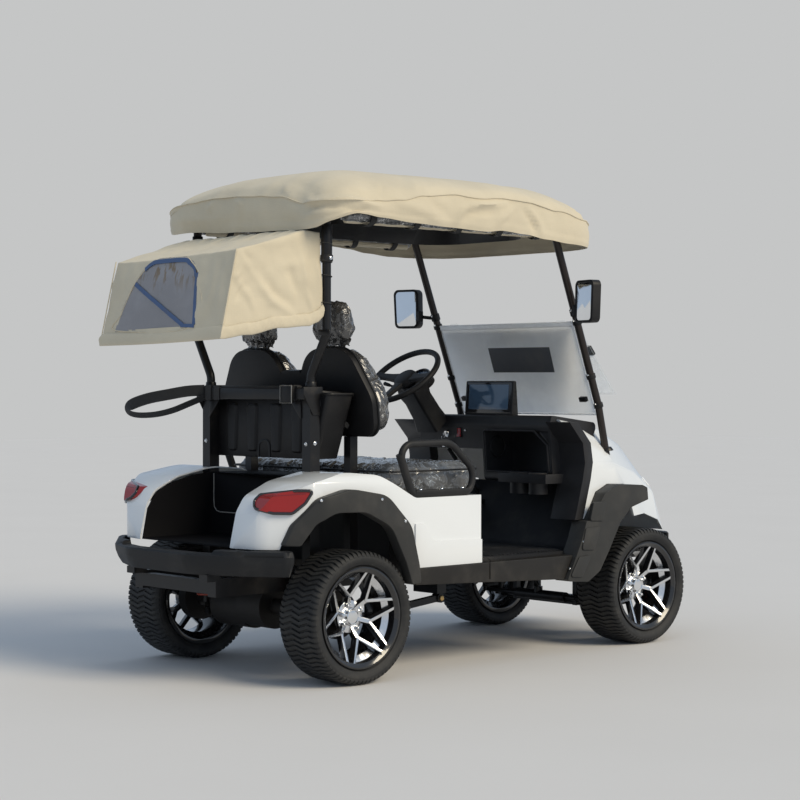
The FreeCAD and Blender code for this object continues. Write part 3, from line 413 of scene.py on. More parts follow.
@dataclass(frozen=True)
class Gloss:
    """Smooth glossy plastic or enamel."""

    name: str = "gloss_black"
    colour: Point = (0.012, 0.012, 0.014)
    roughness: float = 0.10
    coat: float = 0.6
    slot: str = "black_plastic"

    def make(self) -> bpy.types.Material:
        """Build the material."""
        t = Tree(self.name)
        smear = t.noise(11, 4)
        return t.surface(Base_Color=t.mix(smear * 0.4, self.colour, shade(self.colour, 1.6)),
                         Roughness=self.roughness + smear * 0.08, Coat_Weight=self.coat,
                         Normal=t.bump(t.noise(60), 0.0001, 0.15))


@dataclass(frozen=True)
class Clear:
    """Clear sheet or film: mostly see-through, hazed where it is creased."""

    name: str = "clear_sheet"
    colour: Point = (0.86, 0.90, 0.94)
    haze: float = 0.25
    patch: float = 0.35
    scale: float = 5.0
    roughness: float = 0.08
    wrinkle: float = 0.002
    glow: float = 0.0
    stain: float = 0.0
    slot: str = "clear_sheet"

    def make(self) -> bpy.types.Material:
        """Build the material; glow lets light through a milky film, stain runs down from the top."""
        t = Tree(self.name)
        cloud = t.noise(self.scale, 5, 0.6)
        alpha = self.haze + cloud.step(0.42, 0.72) * self.patch
        folds = t.noise(self.scale * 4, 3, 0.6)
        colour = t.mix(cloud.step(0.35, 0.7), shade(self.colour, 0.94), shade(self.colour, 1.06))
        if self.stain:
            level = t.axes(t.place())[2].step(1.455, 1.575)
            runs = t.noise(30, 3, 0.6, (1, 1, 0.28)).step(0.50, 0.60) * level * self.stain
            colour = t.mix(runs, colour, (0.20, 0.125, 0.045))
        material = t.surface(Base_Color=colour, Roughness=self.roughness + cloud * 0.1, Alpha=alpha,
                             Specular_IOR_Level=0.6, Normal=t.bump(folds, self.wrinkle, 0.7),
                             Subsurface_Weight=self.glow, Subsurface_Radius=(1, 1, 1), Subsurface_Scale=0.02)
        material.surface_render_method = "BLENDED"
        return material


@dataclass(frozen=True)
class Vinyl:
    """Dark seat vinyl under clear film, whose creases are painted into the colour as bright highlight lines."""

    name: str = "seat_vinyl"
    colour: Point = (0.030, 0.027, 0.025)
    # Colour of the highlights painted along the film's creases.
    glint: Point = (0.62, 0.63, 0.64)
    milk: float = 0.10
    stretch: Point = (1, 1, 4.5)
    cells: float = 34.0
    slot: str = "seat_vinyl"

    def streaks(self, t: Tree, cells: float, turn: Point, width: float) -> Val:
        """Painted highlights: thin bright lines that run one way, where the film is creased."""
        where = t.node("ShaderNodeTexCoord", output="Object")
        along_film = t.node("ShaderNodeMapping", {"vector_type": "TEXTURE"},
                            {"Vector": where, "Rotation": turn, "Scale": self.stretch})
        raw = t.node("ShaderNodeTexNoise", inputs={"Vector": along_film, "Scale": cells, "Detail": 2.5,
                                                   "Roughness": 0.55})
        return 1 - abs(raw * 2 - 1).step(0.0, width)

    def make(self) -> bpy.types.Material:
        """Build the material."""
        t = Tree(self.name)
        grain = t.node("ShaderNodeTexVoronoi", {"feature": "DISTANCE_TO_EDGE"},
                       {"Vector": t.place(), "Scale": 420})
        # The film's creases, painted as highlight lines in the colour and also used for the bump.
        one = self.streaks(t, self.cells, (0.5, 0.3, 0.0), 0.045) * t.noise(11, 2).step(0.45, 0.62)
        two = self.streaks(t, self.cells * 1.3, (-0.7, 0.2, 0.6), 0.040) * t.noise(13, 2).step(0.47, 0.64)
        fine = self.streaks(t, self.cells * 2.2, (1.1, -0.4, 0.2), 0.060) * t.noise(19, 2).step(0.45, 0.60)
        # Painted highlights: film holds the bright crease lines that lighten the colour towards the highlight
        # colour.
        film = one * 0.9 + two * 0.8 + fine * 0.4
        haze = t.noise(5, 4).step(0.35, 0.75) * self.milk + self.milk * 0.4
        base = t.mix(haze, self.colour, (0.33, 0.35, 0.37))
        tone = t.mix(film.step(0.05, 1.0), base, self.glint)
        leather = t.bump(grain, 0.0002, 0.4)
        crumple = one + two + fine * 0.6
        return t.surface(Base_Color=tone, Roughness=0.20 + t.noise(40) * 0.12, Coat_Weight=0.9,
                         Coat_Roughness=0.04, Normal=t.bump(crumple, 0.003, 0.6, leather))


# Modelling by hand

class Plane(Enum):
    """Plane that a profile is drawn in; the profile is pulled along the third axis."""

    YZ = "yz"
    XZ = "xz"

    def at(self, u: float, v: float, w: float) -> Vector:
        """Point from the profile's two coordinates and the level across it."""
        return Vector((w, u, v)) if self is Plane.YZ else Vector((u, w, v))


def rounded(corners: Sequence[Point], steps: int) -> list[tuple[float, float]]:
    """Closed profile with rounded corners.

    Args:
        corners: Rows of u, v and corner radius.
        steps: Straight pieces in each rounded corner.

    Returns:
        The profile's points.
    """
    points: list[tuple[float, float]] = []
    count = len(corners)
    for i, (u, v, radius) in enumerate(corners):
        here = Vector((u, v))
        into = (here - Vector(corners[i - 1][:2])).normalized()
        out = (Vector(corners[(i + 1) % count][:2]) - here).normalized()
        turn = into.angle(out)
        if radius <= 0 or turn < 1e-3:
            points.append((u, v))
            continue
        reach = radius * math.tan(turn / 2)
        centre = here + (out - into).normalized() * (radius / math.cos(turn / 2))
        first = here - into * reach - centre
        side = 1 if into.cross(out) > 0 else -1
        for k in range(steps + 1):
            arm = first.copy()
            arm.rotate(Matrix.Rotation(side * turn * k / steps, 2))
            points.append(tuple(centre + arm))
    return points


def smooth_path(points: Sequence[Point], steps: int, closed: bool = False) -> list[Vector]:
    """Curve through points (Catmull-Rom), sampled evenly between them."""
    pts = [Vector(p) for p in points]
    count = len(pts)
    result = []
    for i in range(count if closed else count - 1):
        if closed:
            a, b, c, d = (pts[(i + k) % count] for k in (-1, 0, 1, 2))
        else:
            b, c = pts[i], pts[i + 1]
            a = pts[i - 1] if i else b * 2 - c
            d = pts[i + 2] if i + 2 < count else c * 2 - b
        for k in range(steps):
            t = k / steps
            result.append(0.5 * (2 * b + (c - a) * t + (2 * a - 5 * b + 4 * c - d) * t ** 2
                                 + (3 * b - a - 3 * c + d) * t ** 3))
    if not closed:
        result.append(pts[-1])
    return result


class Bench:
    """Modelling steps; each runs Blender's own operators on one piece."""

    @staticmethod
    def clear() -> None:
        """Leave edit mode and deselect everything."""
        if bpy.context.object is not None and bpy.context.object.mode != "OBJECT":
            bpy.ops.object.mode_set(mode="OBJECT")
        bpy.ops.object.select_all(action="DESELECT")

    @staticmethod
    def only(piece: Piece) -> None:
        """Select one piece and make it active."""
        Bench.clear()
        piece.select_set(True)
        bpy.context.view_layer.objects.active = piece

    @staticmethod
    @contextmanager
    def editing() -> Iterator[None]:
        """Edit mode on the active piece, with all of it selected."""
        bpy.ops.object.mode_set(mode="EDIT")
        bpy.ops.mesh.select_all(action="SELECT")
        yield
        bpy.ops.object.mode_set(mode="OBJECT")

    @staticmethod
    def turn_out(merge: float = 0.0) -> None:
        """In edit mode, merge doubles if a distance is given, and turn all faces outward."""
        bpy.ops.mesh.select_all(action="SELECT")
        if merge:
            bpy.ops.mesh.remove_doubles(threshold=merge)
        bpy.ops.mesh.normals_make_consistent(inside=False)

    @staticmethod
    def named(name: str) -> Piece:
        """Name the new active piece and fix its place into its mesh."""
        piece = bpy.context.object
        piece.name = piece.data.name = name
        bpy.ops.object.transform_apply(location=True, rotation=True, scale=True)
        return piece

    @staticmethod
    def block(name: str, low: Point, high: Point) -> Piece:
        """Box between two corners."""
        Bench.clear()
        a, b = Vector(low), Vector(high)
        bpy.ops.mesh.primitive_cube_add(size=1, location=(a + b) / 2, scale=b - a)
        return Bench.named(name)

    @staticmethod
    def rod(name: str, start: Point, end: Point, radius: float, far: Optional[float] = None,
            sides: int = 32) -> Piece:
        """Round bar between two points, or a cone if the far radius differs."""
        Bench.clear()
        a, b = Vector(start), Vector(end)
        turn = (b - a).to_track_quat("Z", "Y").to_euler()
        bpy.ops.mesh.primitive_cone_add(vertices=sides, radius1=radius,
                                        radius2=radius if far is None else far,
                                        depth=(b - a).length, location=(a + b) / 2, rotation=turn)
        return Bench.named(name)

    @staticmethod
    def ring(name: str, centre: Point, axis: Point, radius: float, thick: float,
             steps: int, sides: int) -> Piece:
        """Round ring about an axis."""
        Bench.clear()
        turn = Vector(axis).to_track_quat("Z", "Y").to_euler()
        bpy.ops.mesh.primitive_torus_add(major_segments=steps, minor_segments=sides, major_radius=radius,
                                         minor_radius=thick, location=centre, rotation=turn)
        return Bench.named(name)

    @staticmethod
    def prism(name: str, profile: Sequence[tuple[float, float]], plane: Plane, start: float,
              end: float) -> Piece:
        """Flat profile pulled between two levels.

        Args:
            name: The piece's name.
            profile: Points of the closed profile.
            plane: The profile's plane.
            start: Level of the first face.
            end: Level of the second face.

        Returns:
            The piece.
        """
        Bench.clear()
        bpy.ops.mesh.primitive_circle_add(vertices=len(profile), radius=1, fill_type="NGON")
        piece = Bench.named(name)
        for vertex, (u, v) in zip(piece.data.vertices, profile):
            vertex.co = plane.at(u, v, start)
        with Bench.editing():
            bpy.ops.mesh.extrude_region_move(TRANSFORM_OT_translate={"value": plane.at(0, 0, end - start)})
            Bench.turn_out()
        return piece

    @staticmethod
    def sweep(name: str, points: Sequence[Point], radius: float, closed: bool, sides: int,
              flat: float = 0.0) -> Piece:
        """Round cord or, with flat, a band of that width, along a path.

        Args:
            name: The piece's name.
            points: The path's points.
            radius: Radius of the cord, or half the band's thickness.
            closed: Whether the path closes on itself.
            sides: Roundness of the cord.
            flat: Width of the band; nought for a cord.

        Returns:
            The piece, as a mesh.
        """
        Bench.clear()
        bpy.ops.curve.primitive_nurbs_path_add()
        data = bpy.context.object.data
        data.splines.clear()
        spline = data.splines.new("POLY")
        spline.points.add(len(points) - 1)
        for point, place in zip(spline.points, points):
            point.co = (*place, 1)
        spline.use_cyclic_u = closed
        data.dimensions = "3D"
        data.use_fill_caps = not closed
        data.extrude = flat / 2
        data.bevel_depth = radius
        data.bevel_resolution = sides
        bpy.ops.object.convert(target="MESH")
        piece = Bench.named(name)
        with Bench.editing():
            Bench.turn_out(0.00001)
        return piece

    @staticmethod
    def lathe(name: str, profile: Sequence[tuple[float, float]], steps: int,
              axis: Point = (1, 0, 0)) -> Piece:
        """Closed profile spun about the X axis through the origin.

        Args:
            name: The piece's name.
            profile: Points along the axis and away from it.
            steps: Faces round the piece.
            axis: Direction that the X axis is turned to afterwards.

        Returns:
            The piece.
        """
        Bench.clear()
        bpy.ops.mesh.primitive_circle_add(vertices=len(profile), radius=1, fill_type="NOTHING")
        piece = Bench.named(name)
        for vertex, (along, out) in zip(piece.data.vertices, profile):
            vertex.co = (along, out, 0)
        with Bench.editing():
            bpy.ops.mesh.spin(steps=steps, angle=math.tau, center=(0, 0, 0), axis=(1, 0, 0))
            Bench.turn_out(0.00001)
        if tuple(axis) != (1, 0, 0):
            piece.data.transform(Vector(axis).to_track_quat("X", "Z").to_matrix().to_4x4())
        return piece

    @staticmethod
    def twin(name: str, piece: Piece, mirror: bool = False) -> Piece:
        """Copy with its own mesh, or mirrored to the cart's other side."""
        Bench.clear()
        copy = piece.copy()
        copy.data = piece.data.copy()
        copy.name = copy.data.name = name
        bpy.context.scene.collection.objects.link(copy)
        Bench.only(copy)
        if mirror:
            Bench.mirror(copy)
        return copy

    @staticmethod
    def mirror(piece: Piece) -> None:
        """Mirror a piece to the cart's other side."""
        piece.data.transform(Matrix.Scale(-1, 4, (1, 0, 0)))
        piece.data.flip_normals()

    @staticmethod
    def copy_node(name: str, node: Piece) -> Piece:
        """Merged copy of a CAD node's mesh, its flat faces whole again."""
        piece = Bench.twin(name, node)
        for key in list(piece.keys()):
            del piece[key]
        piece.parent = None
        with Bench.editing():
            bpy.ops.mesh.remove_doubles(threshold=0.00002)
            bpy.ops.mesh.dissolve_limited(angle_limit=math.radians(0.6))
            bpy.ops.mesh.select_all(action="DESELECT")
        return piece

    @staticmethod
    def modify(piece: Piece, kind: str, **settings: object) -> None:
        """Add one modifier, set it and apply it."""
        Bench.only(piece)
        modifier = piece.modifiers.new(kind.lower(), kind)
        for key, value in settings.items():
            setattr(modifier, key, value)
        bpy.ops.object.modifier_apply(modifier=modifier.name)

    @staticmethod
    def soften(piece: Piece, width: float = 0.002, segments: int = 2, angle: float = 28) -> Piece:
        """Round off the sharp edges and shade smooth."""
        Bench.modify(piece, "BEVEL", width=width, segments=segments, limit_method="ANGLE",
                     angle_limit=math.radians(angle), harden_normals=False, use_clamp_overlap=True)
        return Bench.smooth(piece)

    @staticmethod
    def smooth(piece: Piece, angle: float = 40) -> Piece:
        """Shade smooth, apart from edges sharper than an angle."""
        Bench.only(piece)
        bpy.ops.object.shade_smooth_by_angle(angle=math.radians(angle))
        return piece

    @staticmethod
    def join(name: str, pieces: Sequence[Piece]) -> Piece:
        """Make one piece of several."""
        Bench.clear()
        for piece in pieces:
            piece.select_set(True)
        bpy.context.view_layer.objects.active = pieces[0]
        bpy.ops.object.join()
        pieces[0].name = pieces[0].data.name = name
        return pieces[0]

    @staticmethod
    def cut(piece: Piece, tool: Piece) -> None:
        """Cut one piece by another and delete the tool."""
        Bench.modify(piece, "BOOLEAN", operation="DIFFERENCE", object=tool, solver="EXACT")
        bpy.data.objects.remove(tool)

    @staticmethod
    def skin(name: str, rows: Sequence[Sequence[Vector]], wrap: bool = False) -> Piece:
        """Sheet of faces through rows of points; wrap joins each row's ends."""
        Bench.clear()
        bpy.ops.mesh.primitive_grid_add(x_subdivisions=1, y_subdivisions=1, size=1)
        piece = Bench.named(name)
        width = len(rows[0])
        points = [tuple(p) for row in rows for p in row]
        faces = []
        for r in range(len(rows) - 1):
            for c in range(width if wrap else width - 1):
                n = (c + 1) % width
                faces.append((r * width + c, r * width + n, (r + 1) * width + n, (r + 1) * width + c))
        piece.data.clear_geometry()
        piece.data.from_pydata(points, [], faces)
        piece.data.update()
        return piece

    @staticmethod
    def outward(piece: Piece) -> Piece:
        """Merge doubles and turn all faces outward."""
        Bench.only(piece)
        with Bench.editing():
            Bench.turn_out(0.00002)
        return piece

    @staticmethod
    def closed_skin(name: str, rows: Sequence[Sequence[Vector]]) -> Piece:
        """Skin round rows of points, closed at both ends."""
        piece = Bench.skin(name, rows, wrap=True)
        Bench.only(piece)
        with Bench.editing():
            bpy.ops.mesh.fill_holes(sides=0)
        return Bench.outward(piece)


class Cart:
    """The loaded frame, and what every sub-assembly needs to hang its pieces on it."""

    def __init__(self) -> None:
        """Load the frame and note its box."""
        self.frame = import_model()
        self.nodes = self.frame["nodes"]
        self.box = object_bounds()
        self.finishes: dict[str, bpy.types.Material] = {}

    def finish(self, kind: object) -> bpy.types.Material:
        """The material of a finish, built once."""
        if kind.name not in self.finishes:
            self.finishes[kind.name] = kind.make()
        return self.finishes[kind.name]

    def coat(self, node: str, kind: object) -> None:
        """Give a CAD node its finish."""
        for slot in self.nodes[node].material_slots:
            slot.material = self.finish(kind)
        LOG.info("%s finished as %s", node, kind.name)

    def add(self, piece: Piece, kind: Optional[object], body: str = "body",
            replaces: Sequence[str] = (), slot: Optional[str] = None) -> Piece:
        """Finish a piece and hang it on its body.

        Args:
            piece: The finished mesh.
            kind: Its finish, or None to keep the materials it has.
            body: The body that carries it.
            replaces: CAD nodes that it stands for.
            slot: The record's material slot, or None for the finish's own; not used.

        Returns:
            The piece.
        """
        if kind is not None:
            piece.data.materials.clear()
            piece.data.materials.append(self.finish(kind))
        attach(piece, body)
        if replaces:
            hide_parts(*replaces)
        slot or kind.slot
        LOG.info("%s rides on %s with %d faces", piece.name, body, len(piece.data.polygons))
        return piece


# The cart's finishes

WHITE = Paint()
BLACK = Moulded("black_plastic", (0.009, 0.009, 0.010), 0.45, 1500, 0.0001, 0.10)
GREY = Moulded("grey_plastic", (0.011, 0.012, 0.014), 0.50, 1100, 0.0001, 0.10, slot="grey_plastic")
DASH = Moulded("dash_plastic", (0.019, 0.019, 0.021), 0.40, 1400, 0.0001, 0.08)
TRIM = Moulded("trim_plastic", (0.045, 0.041, 0.038), 0.40, 1200, 0.0001, 0.10)
TRIM_DARK = Moulded("sill_plastic", (0.016, 0.0145, 0.013), 0.42, 1200, 0.0001, 0.14)
FLARE = Moulded("flare_plastic", (0.028, 0.028, 0.027), 0.48, 1100, 0.0001, 0.14, 0.35, "grey_plastic")
SEAM = Moulded("hatch_seam", (0.30, 0.29, 0.27), 0.55, 900, 0.0001, 0.2, slot="grey_plastic")
SHELL = Moulded("seat_shell_plastic", (0.006, 0.006, 0.007), 0.42, 1300, 0.00008, 0.05)
GRIP = Moulded("rail_grip", (0.017, 0.017, 0.018), 0.50, 1500, 0.0001, 0.08)
WELL = Moulded("well_plastic", (0.004, 0.004, 0.005), 0.60, 1300, 0.00008, 0.0, 0.10)
MAT = Moulded("floor_rubber", (0.013, 0.014, 0.017), 0.60, 900, 0.0002, 0.18, slot="grey_plastic")
STEEL = Steel("black_steel", (0.008, 0.008, 0.009), 0.36)
POST = Steel("post_enamel", (0.022, 0.016, 0.014), 0.34)
CAST = Steel("cast", (0.014, 0.0125, 0.0115), 0.6)
BRASS = Metal("brass_plate", (0.62, 0.42, 0.18), 0.34)
CREAM = Fabric()
WEB = Webbing()
TAPE = Moulded("blue_tape", (0.075, 0.125, 0.245), 0.55, 700, 0.0002, 0.5, slot="cream_fabric")
TYRE = Rubber()
FACE = Metal()
CHROME = Metal("chrome", (0.88, 0.89, 0.90), 0.07)
GREY_METAL = Metal("keeper_metal", (0.34, 0.33, 0.31), 0.40, "black_plastic")
MIRROR = Metal("mirror_glass", (0.86, 0.88, 0.90), 0.03, "black_plastic")
GLOSS = Gloss()
GLOSS_RIM = Gloss("rim_black", (0.010, 0.010, 0.011), 0.16)
RED = Gloss("lamp_red", (0.27, 0.004, 0.004), 0.16, 0.30, "lamp_red")
RED_DARK = Gloss("lamp_red_ribs", (0.20, 0.006, 0.012), 0.15, slot="lamp_red")
LAMP = Gloss("lamp_clear", (0.70, 0.72, 0.75), 0.08, slot="lamp_clear")
SCREEN = Gloss("screen_glass", (0.070, 0.125, 0.200), 0.07, slot="screen")
SHEET = Clear("clear_sheet", (0.80, 0.87, 0.94), 0.10, 0.08, 5.0, 0.08, 0.002)
MILK = Clear("pane_film", (0.90, 0.95, 0.99), 0.93, 0.07, 3.0, 0.24, 0.0012, 1.0)
PANE_COVER = Clear("upper_pane_cover", (0.92, 0.96, 1.0), 0.60, 0.25, 3.0, 0.24, 0.0012, 1.0)
EDGE = Clear("pane_edge", (0.86, 0.91, 0.96), 0.80, 0.2, 6.0, 0.15, 0.001, 1.0)
STRIP = Clear("pane_strip", (0.92, 0.95, 0.98), 0.95, 0.05, 8.0, 0.25, 0.001, 1.0)
LABEL = Moulded("blank_field", (0.085, 0.088, 0.095), 0.42, 500, 0.0001, 0.35, slot="clear_sheet")
WINDOW = Clear("window_vinyl", (0.31, 0.295, 0.30), 0.86, 0.12, 4.0, 0.28, 0.002, 0.0, 0.85)
# The three vinyl finishes below paint bright highlight lines into the colour where the film is creased.
FILM = Vinyl("curtain_film", (0.060, 0.060, 0.060), (0.86, 0.86, 0.86), 0.25, (1, 2.2, 1), 42, "curtain")
SEAT = Vinyl("seat_vinyl", (0.026, 0.024, 0.023), (0.60, 0.61, 0.62), 0.12, (1, 1, 5.0), 40)
SEAT_TOP = Vinyl("seat_top_film", (0.030, 0.027, 0.025), (0.50, 0.56, 0.62), 0.26, (1, 3.5, 1), 32)
SPRING = Steel("spring_red", (0.30, 0.05, 0.03), 0.4)


@dataclass
class Works:
    """What every sub-assembly has: the cart, and short ways to make a piece and hang it."""

    cart: Cart

    def moulding(self, node: str, name: str, kind: object, width: float, slot: Optional[str] = None) -> Piece:
        """Stand for a CAD node by its copy with eased edges."""
        piece = Bench.copy_node(name, self.cart.nodes[node])
        return self.cart.add(Bench.soften(piece, width, 3), kind, replaces=[node], slot=slot)

    def rod(self, name: str, kind: object, start: Point, end: Point, radius: float,
            far: Optional[float] = None, sides: int = 32, ease: tuple[float, int] = (0.002, 2),
            slot: Optional[str] = None) -> None:
        """Hang a round bar with eased ends."""
        piece = Bench.rod(name, start, end, radius, far, sides)
        self.cart.add(Bench.soften(piece, *ease), kind, slot=slot)

    def slab(self, name: str, kind: object, corners: Sequence[Point], plane: Plane, start: float, end: float,
             ease: tuple[float, int] = (0.002, 2), steps: int = 4) -> None:
        """Hang a flat piece with rounded corners and eased edges."""
        piece = Bench.prism(name, rounded(corners, steps), plane, start, end)
        self.cart.add(Bench.soften(piece, *ease), kind)

    def cord(self, name: str, kind: object, points: Sequence[Point], radius: float, closed: bool = True,
             sides: int = 2) -> None:
        """Hang a round cord."""
        self.cart.add(Bench.smooth(Bench.sweep(name, points, radius, closed, sides)), kind)


def oblong(x0: float, x1: float, y0: float, y1: float, radius: float) -> list[Point]:
    """Corners of an upright oblong, for rounded."""
    return [(x0, y0, radius), (x1, y0, radius), (x1, y1, radius), (x0, y1, radius)]


class Bodywork(Works):
    """White shells, dark guards, bumpers, sills and lamps."""

    def mouldings(self) -> None:
        """White shells, guards, bumpers, sills and the bag well, with eased panel edges."""
        for node, part, kind, width in (("rear_body", "shell", WHITE, 0.007),
                                        ("front_cowl", "shell", WHITE, 0.005),
                                        ("rear_flares", "panel", FLARE, 0.004),
                                        ("front_flares", "panel", FLARE, 0.004),
                                        ("rear_bumper", "panel", GREY, 0.005),
                                        ("front_bumper", "panel", GREY, 0.005),
                                        ("sills", "panel", TRIM_DARK, 0.004),
                                        ("bag_well", "panel", WELL, 0.003)):
            self.moulding(node, f"{node}_{part}", kind, width)

    def surface(self, node: str) -> BVHTree:
        """Search tree over a CAD node's faces."""
        mesh = self.cart.nodes[node].data
        return BVHTree.FromPolygons([v.co[:] for v in mesh.vertices],
                                    [list(p.vertices) for p in mesh.polygons])

    def lamps(self) -> None:
        """Tail lamps in black surrounds with a ribbed lens, and headlamps."""
        self.cart.coat("taillights", RED)
        self.cart.coat("headlights", LAMP)
        tree = self.surface("taillights")
        turn = Matrix.Rotation(math.radians(50.4), 3, "Z")
        way = turn @ Vector((0, -1, 0))

        def on_lens(u: float, z: float) -> Optional[Vector]:
            """Point of the right lens, so far along it and at one height."""
            start = turn @ Vector((u, 0.20, 0)) + Vector((-0.560, rear(215), z))
            return tree.ray_cast(start, way, 0.5)[0]

        rows = ((0, 739, 8), (30, 692, 30), (78, 654, 25), (150, 655, 40), (222, 672, 14), (222, 700, 20),
                (200, 722, 20), (60, 740, 60))
        outline = rounded([(u / 1000, z / 1000, r / 1000) for u, z, r in rows], 6)
        middle = Vector((sum(u for u, _ in outline), sum(z for _, z in outline))) / len(outline)
        rim = [on_lens(*(middle + (Vector(p) - middle) * 0.985)) for p in outline]
        rim = [p - way * 0.0004 for p in rim if p is not None]
        rib = [on_lens(0.030 + 0.178 * k / 29, 0.716 + 0.012 * (1 - k / 29)) for k in range(30)]
        rib = [p for p in rib if p is not None and 0.66 < p.z < 0.737]
        for side in Side:
            across = Vector((-side.value, 1, 1))
            self.cord(f"lamp_surround_{side.tag}", GLOSS, [p * across for p in rim], 0.0058, sides=3)
            self.cord(f"lens_rib_{side.tag}_0", RED_DARK, [p * across for p in rib], 0.0016, False)

    def fasteners(self) -> None:
        """Small bright panel screws of the guards."""
        spots = ((0.590, 1.001, 0.703), (0.6125, 0.721, 0.698), (0.612, 0.600, 0.610),
                 (0.5885, -0.537, 0.612), (0.5885, -0.441, 0.474), (0.5775, -0.370, 0.364))
        for side in Side:
            for number, (x, y, z) in enumerate(spots):
                inner, outer = (Vector((side.value * (x + out), y, z)) for out in (-0.002, 0.0028))
                self.rod(f"guard_screw_{side.tag}_{number}", CHROME, inner, outer, 0.0065, 0.0052, 24,
                         (0.0008, 2))

    def pads(self) -> None:
        """Stepped pads down the rear edge of each front guard."""
        rows = (((-0.585, 0.640), (-0.500, 0.636), (-0.478, 0.560), (-0.560, 0.556)),
                ((-0.545, 0.534), (-0.452, 0.530), (-0.428, 0.440), (-0.505, 0.436)),
                ((-0.488, 0.416), (-0.412, 0.412), (-0.356, 0.330), (-0.430, 0.326)))
        tree = self.surface("front_flares")
        for side in Side:
            s = side.value
            for number, corners in enumerate(rows):
                hits = [tree.ray_cast(Vector((s * 0.9, y, z)), Vector((-s, 0, 0)), 0.6)[0]
                        for y, z in corners]
                level = min([abs(h.x) for h in hits if h is not None and abs(h.x) > 0.5], default=0.575)
                self.slab(f"guard_pad_{side.tag}_{number}", FLARE, [(y, z, 0.010) for y, z in corners],
                          Plane.YZ, s * (level - 0.012), s * (level + 0.0065), (0.003, 3))

    def seams(self) -> None:
        """Pale seam of the bag well's hatch, and the sill joints."""
        half = [(0.2655, 0.7705), (0.2655, 0.660), (0.262, 0.634), (0.246, 0.620), (0.225, 0.6155),
                (0.100, 0.6155)]
        wall = half + [(-x, z) for x, z in reversed(half)]
        self.cord("hatch_seam", SEAM, [(x, rear(51.3), z) for x, z in wall], 0.0021, False)
        for side in Side:
            path = [(side.value * x, 0.101, z)
                    for x, z in ((0.5735, 0.352), (0.5735, 0.430), (0.560, 0.4335))]
            self.cart.add(Bench.sweep(f"sill_joint_{side.tag}", path, 0.0014, False, 1), WELL)

    def build(self) -> None:
        """Make the whole sub-assembly."""
        self.mouldings()
        self.lamps()
        self.fasteners()
        self.pads()
        self.seams()


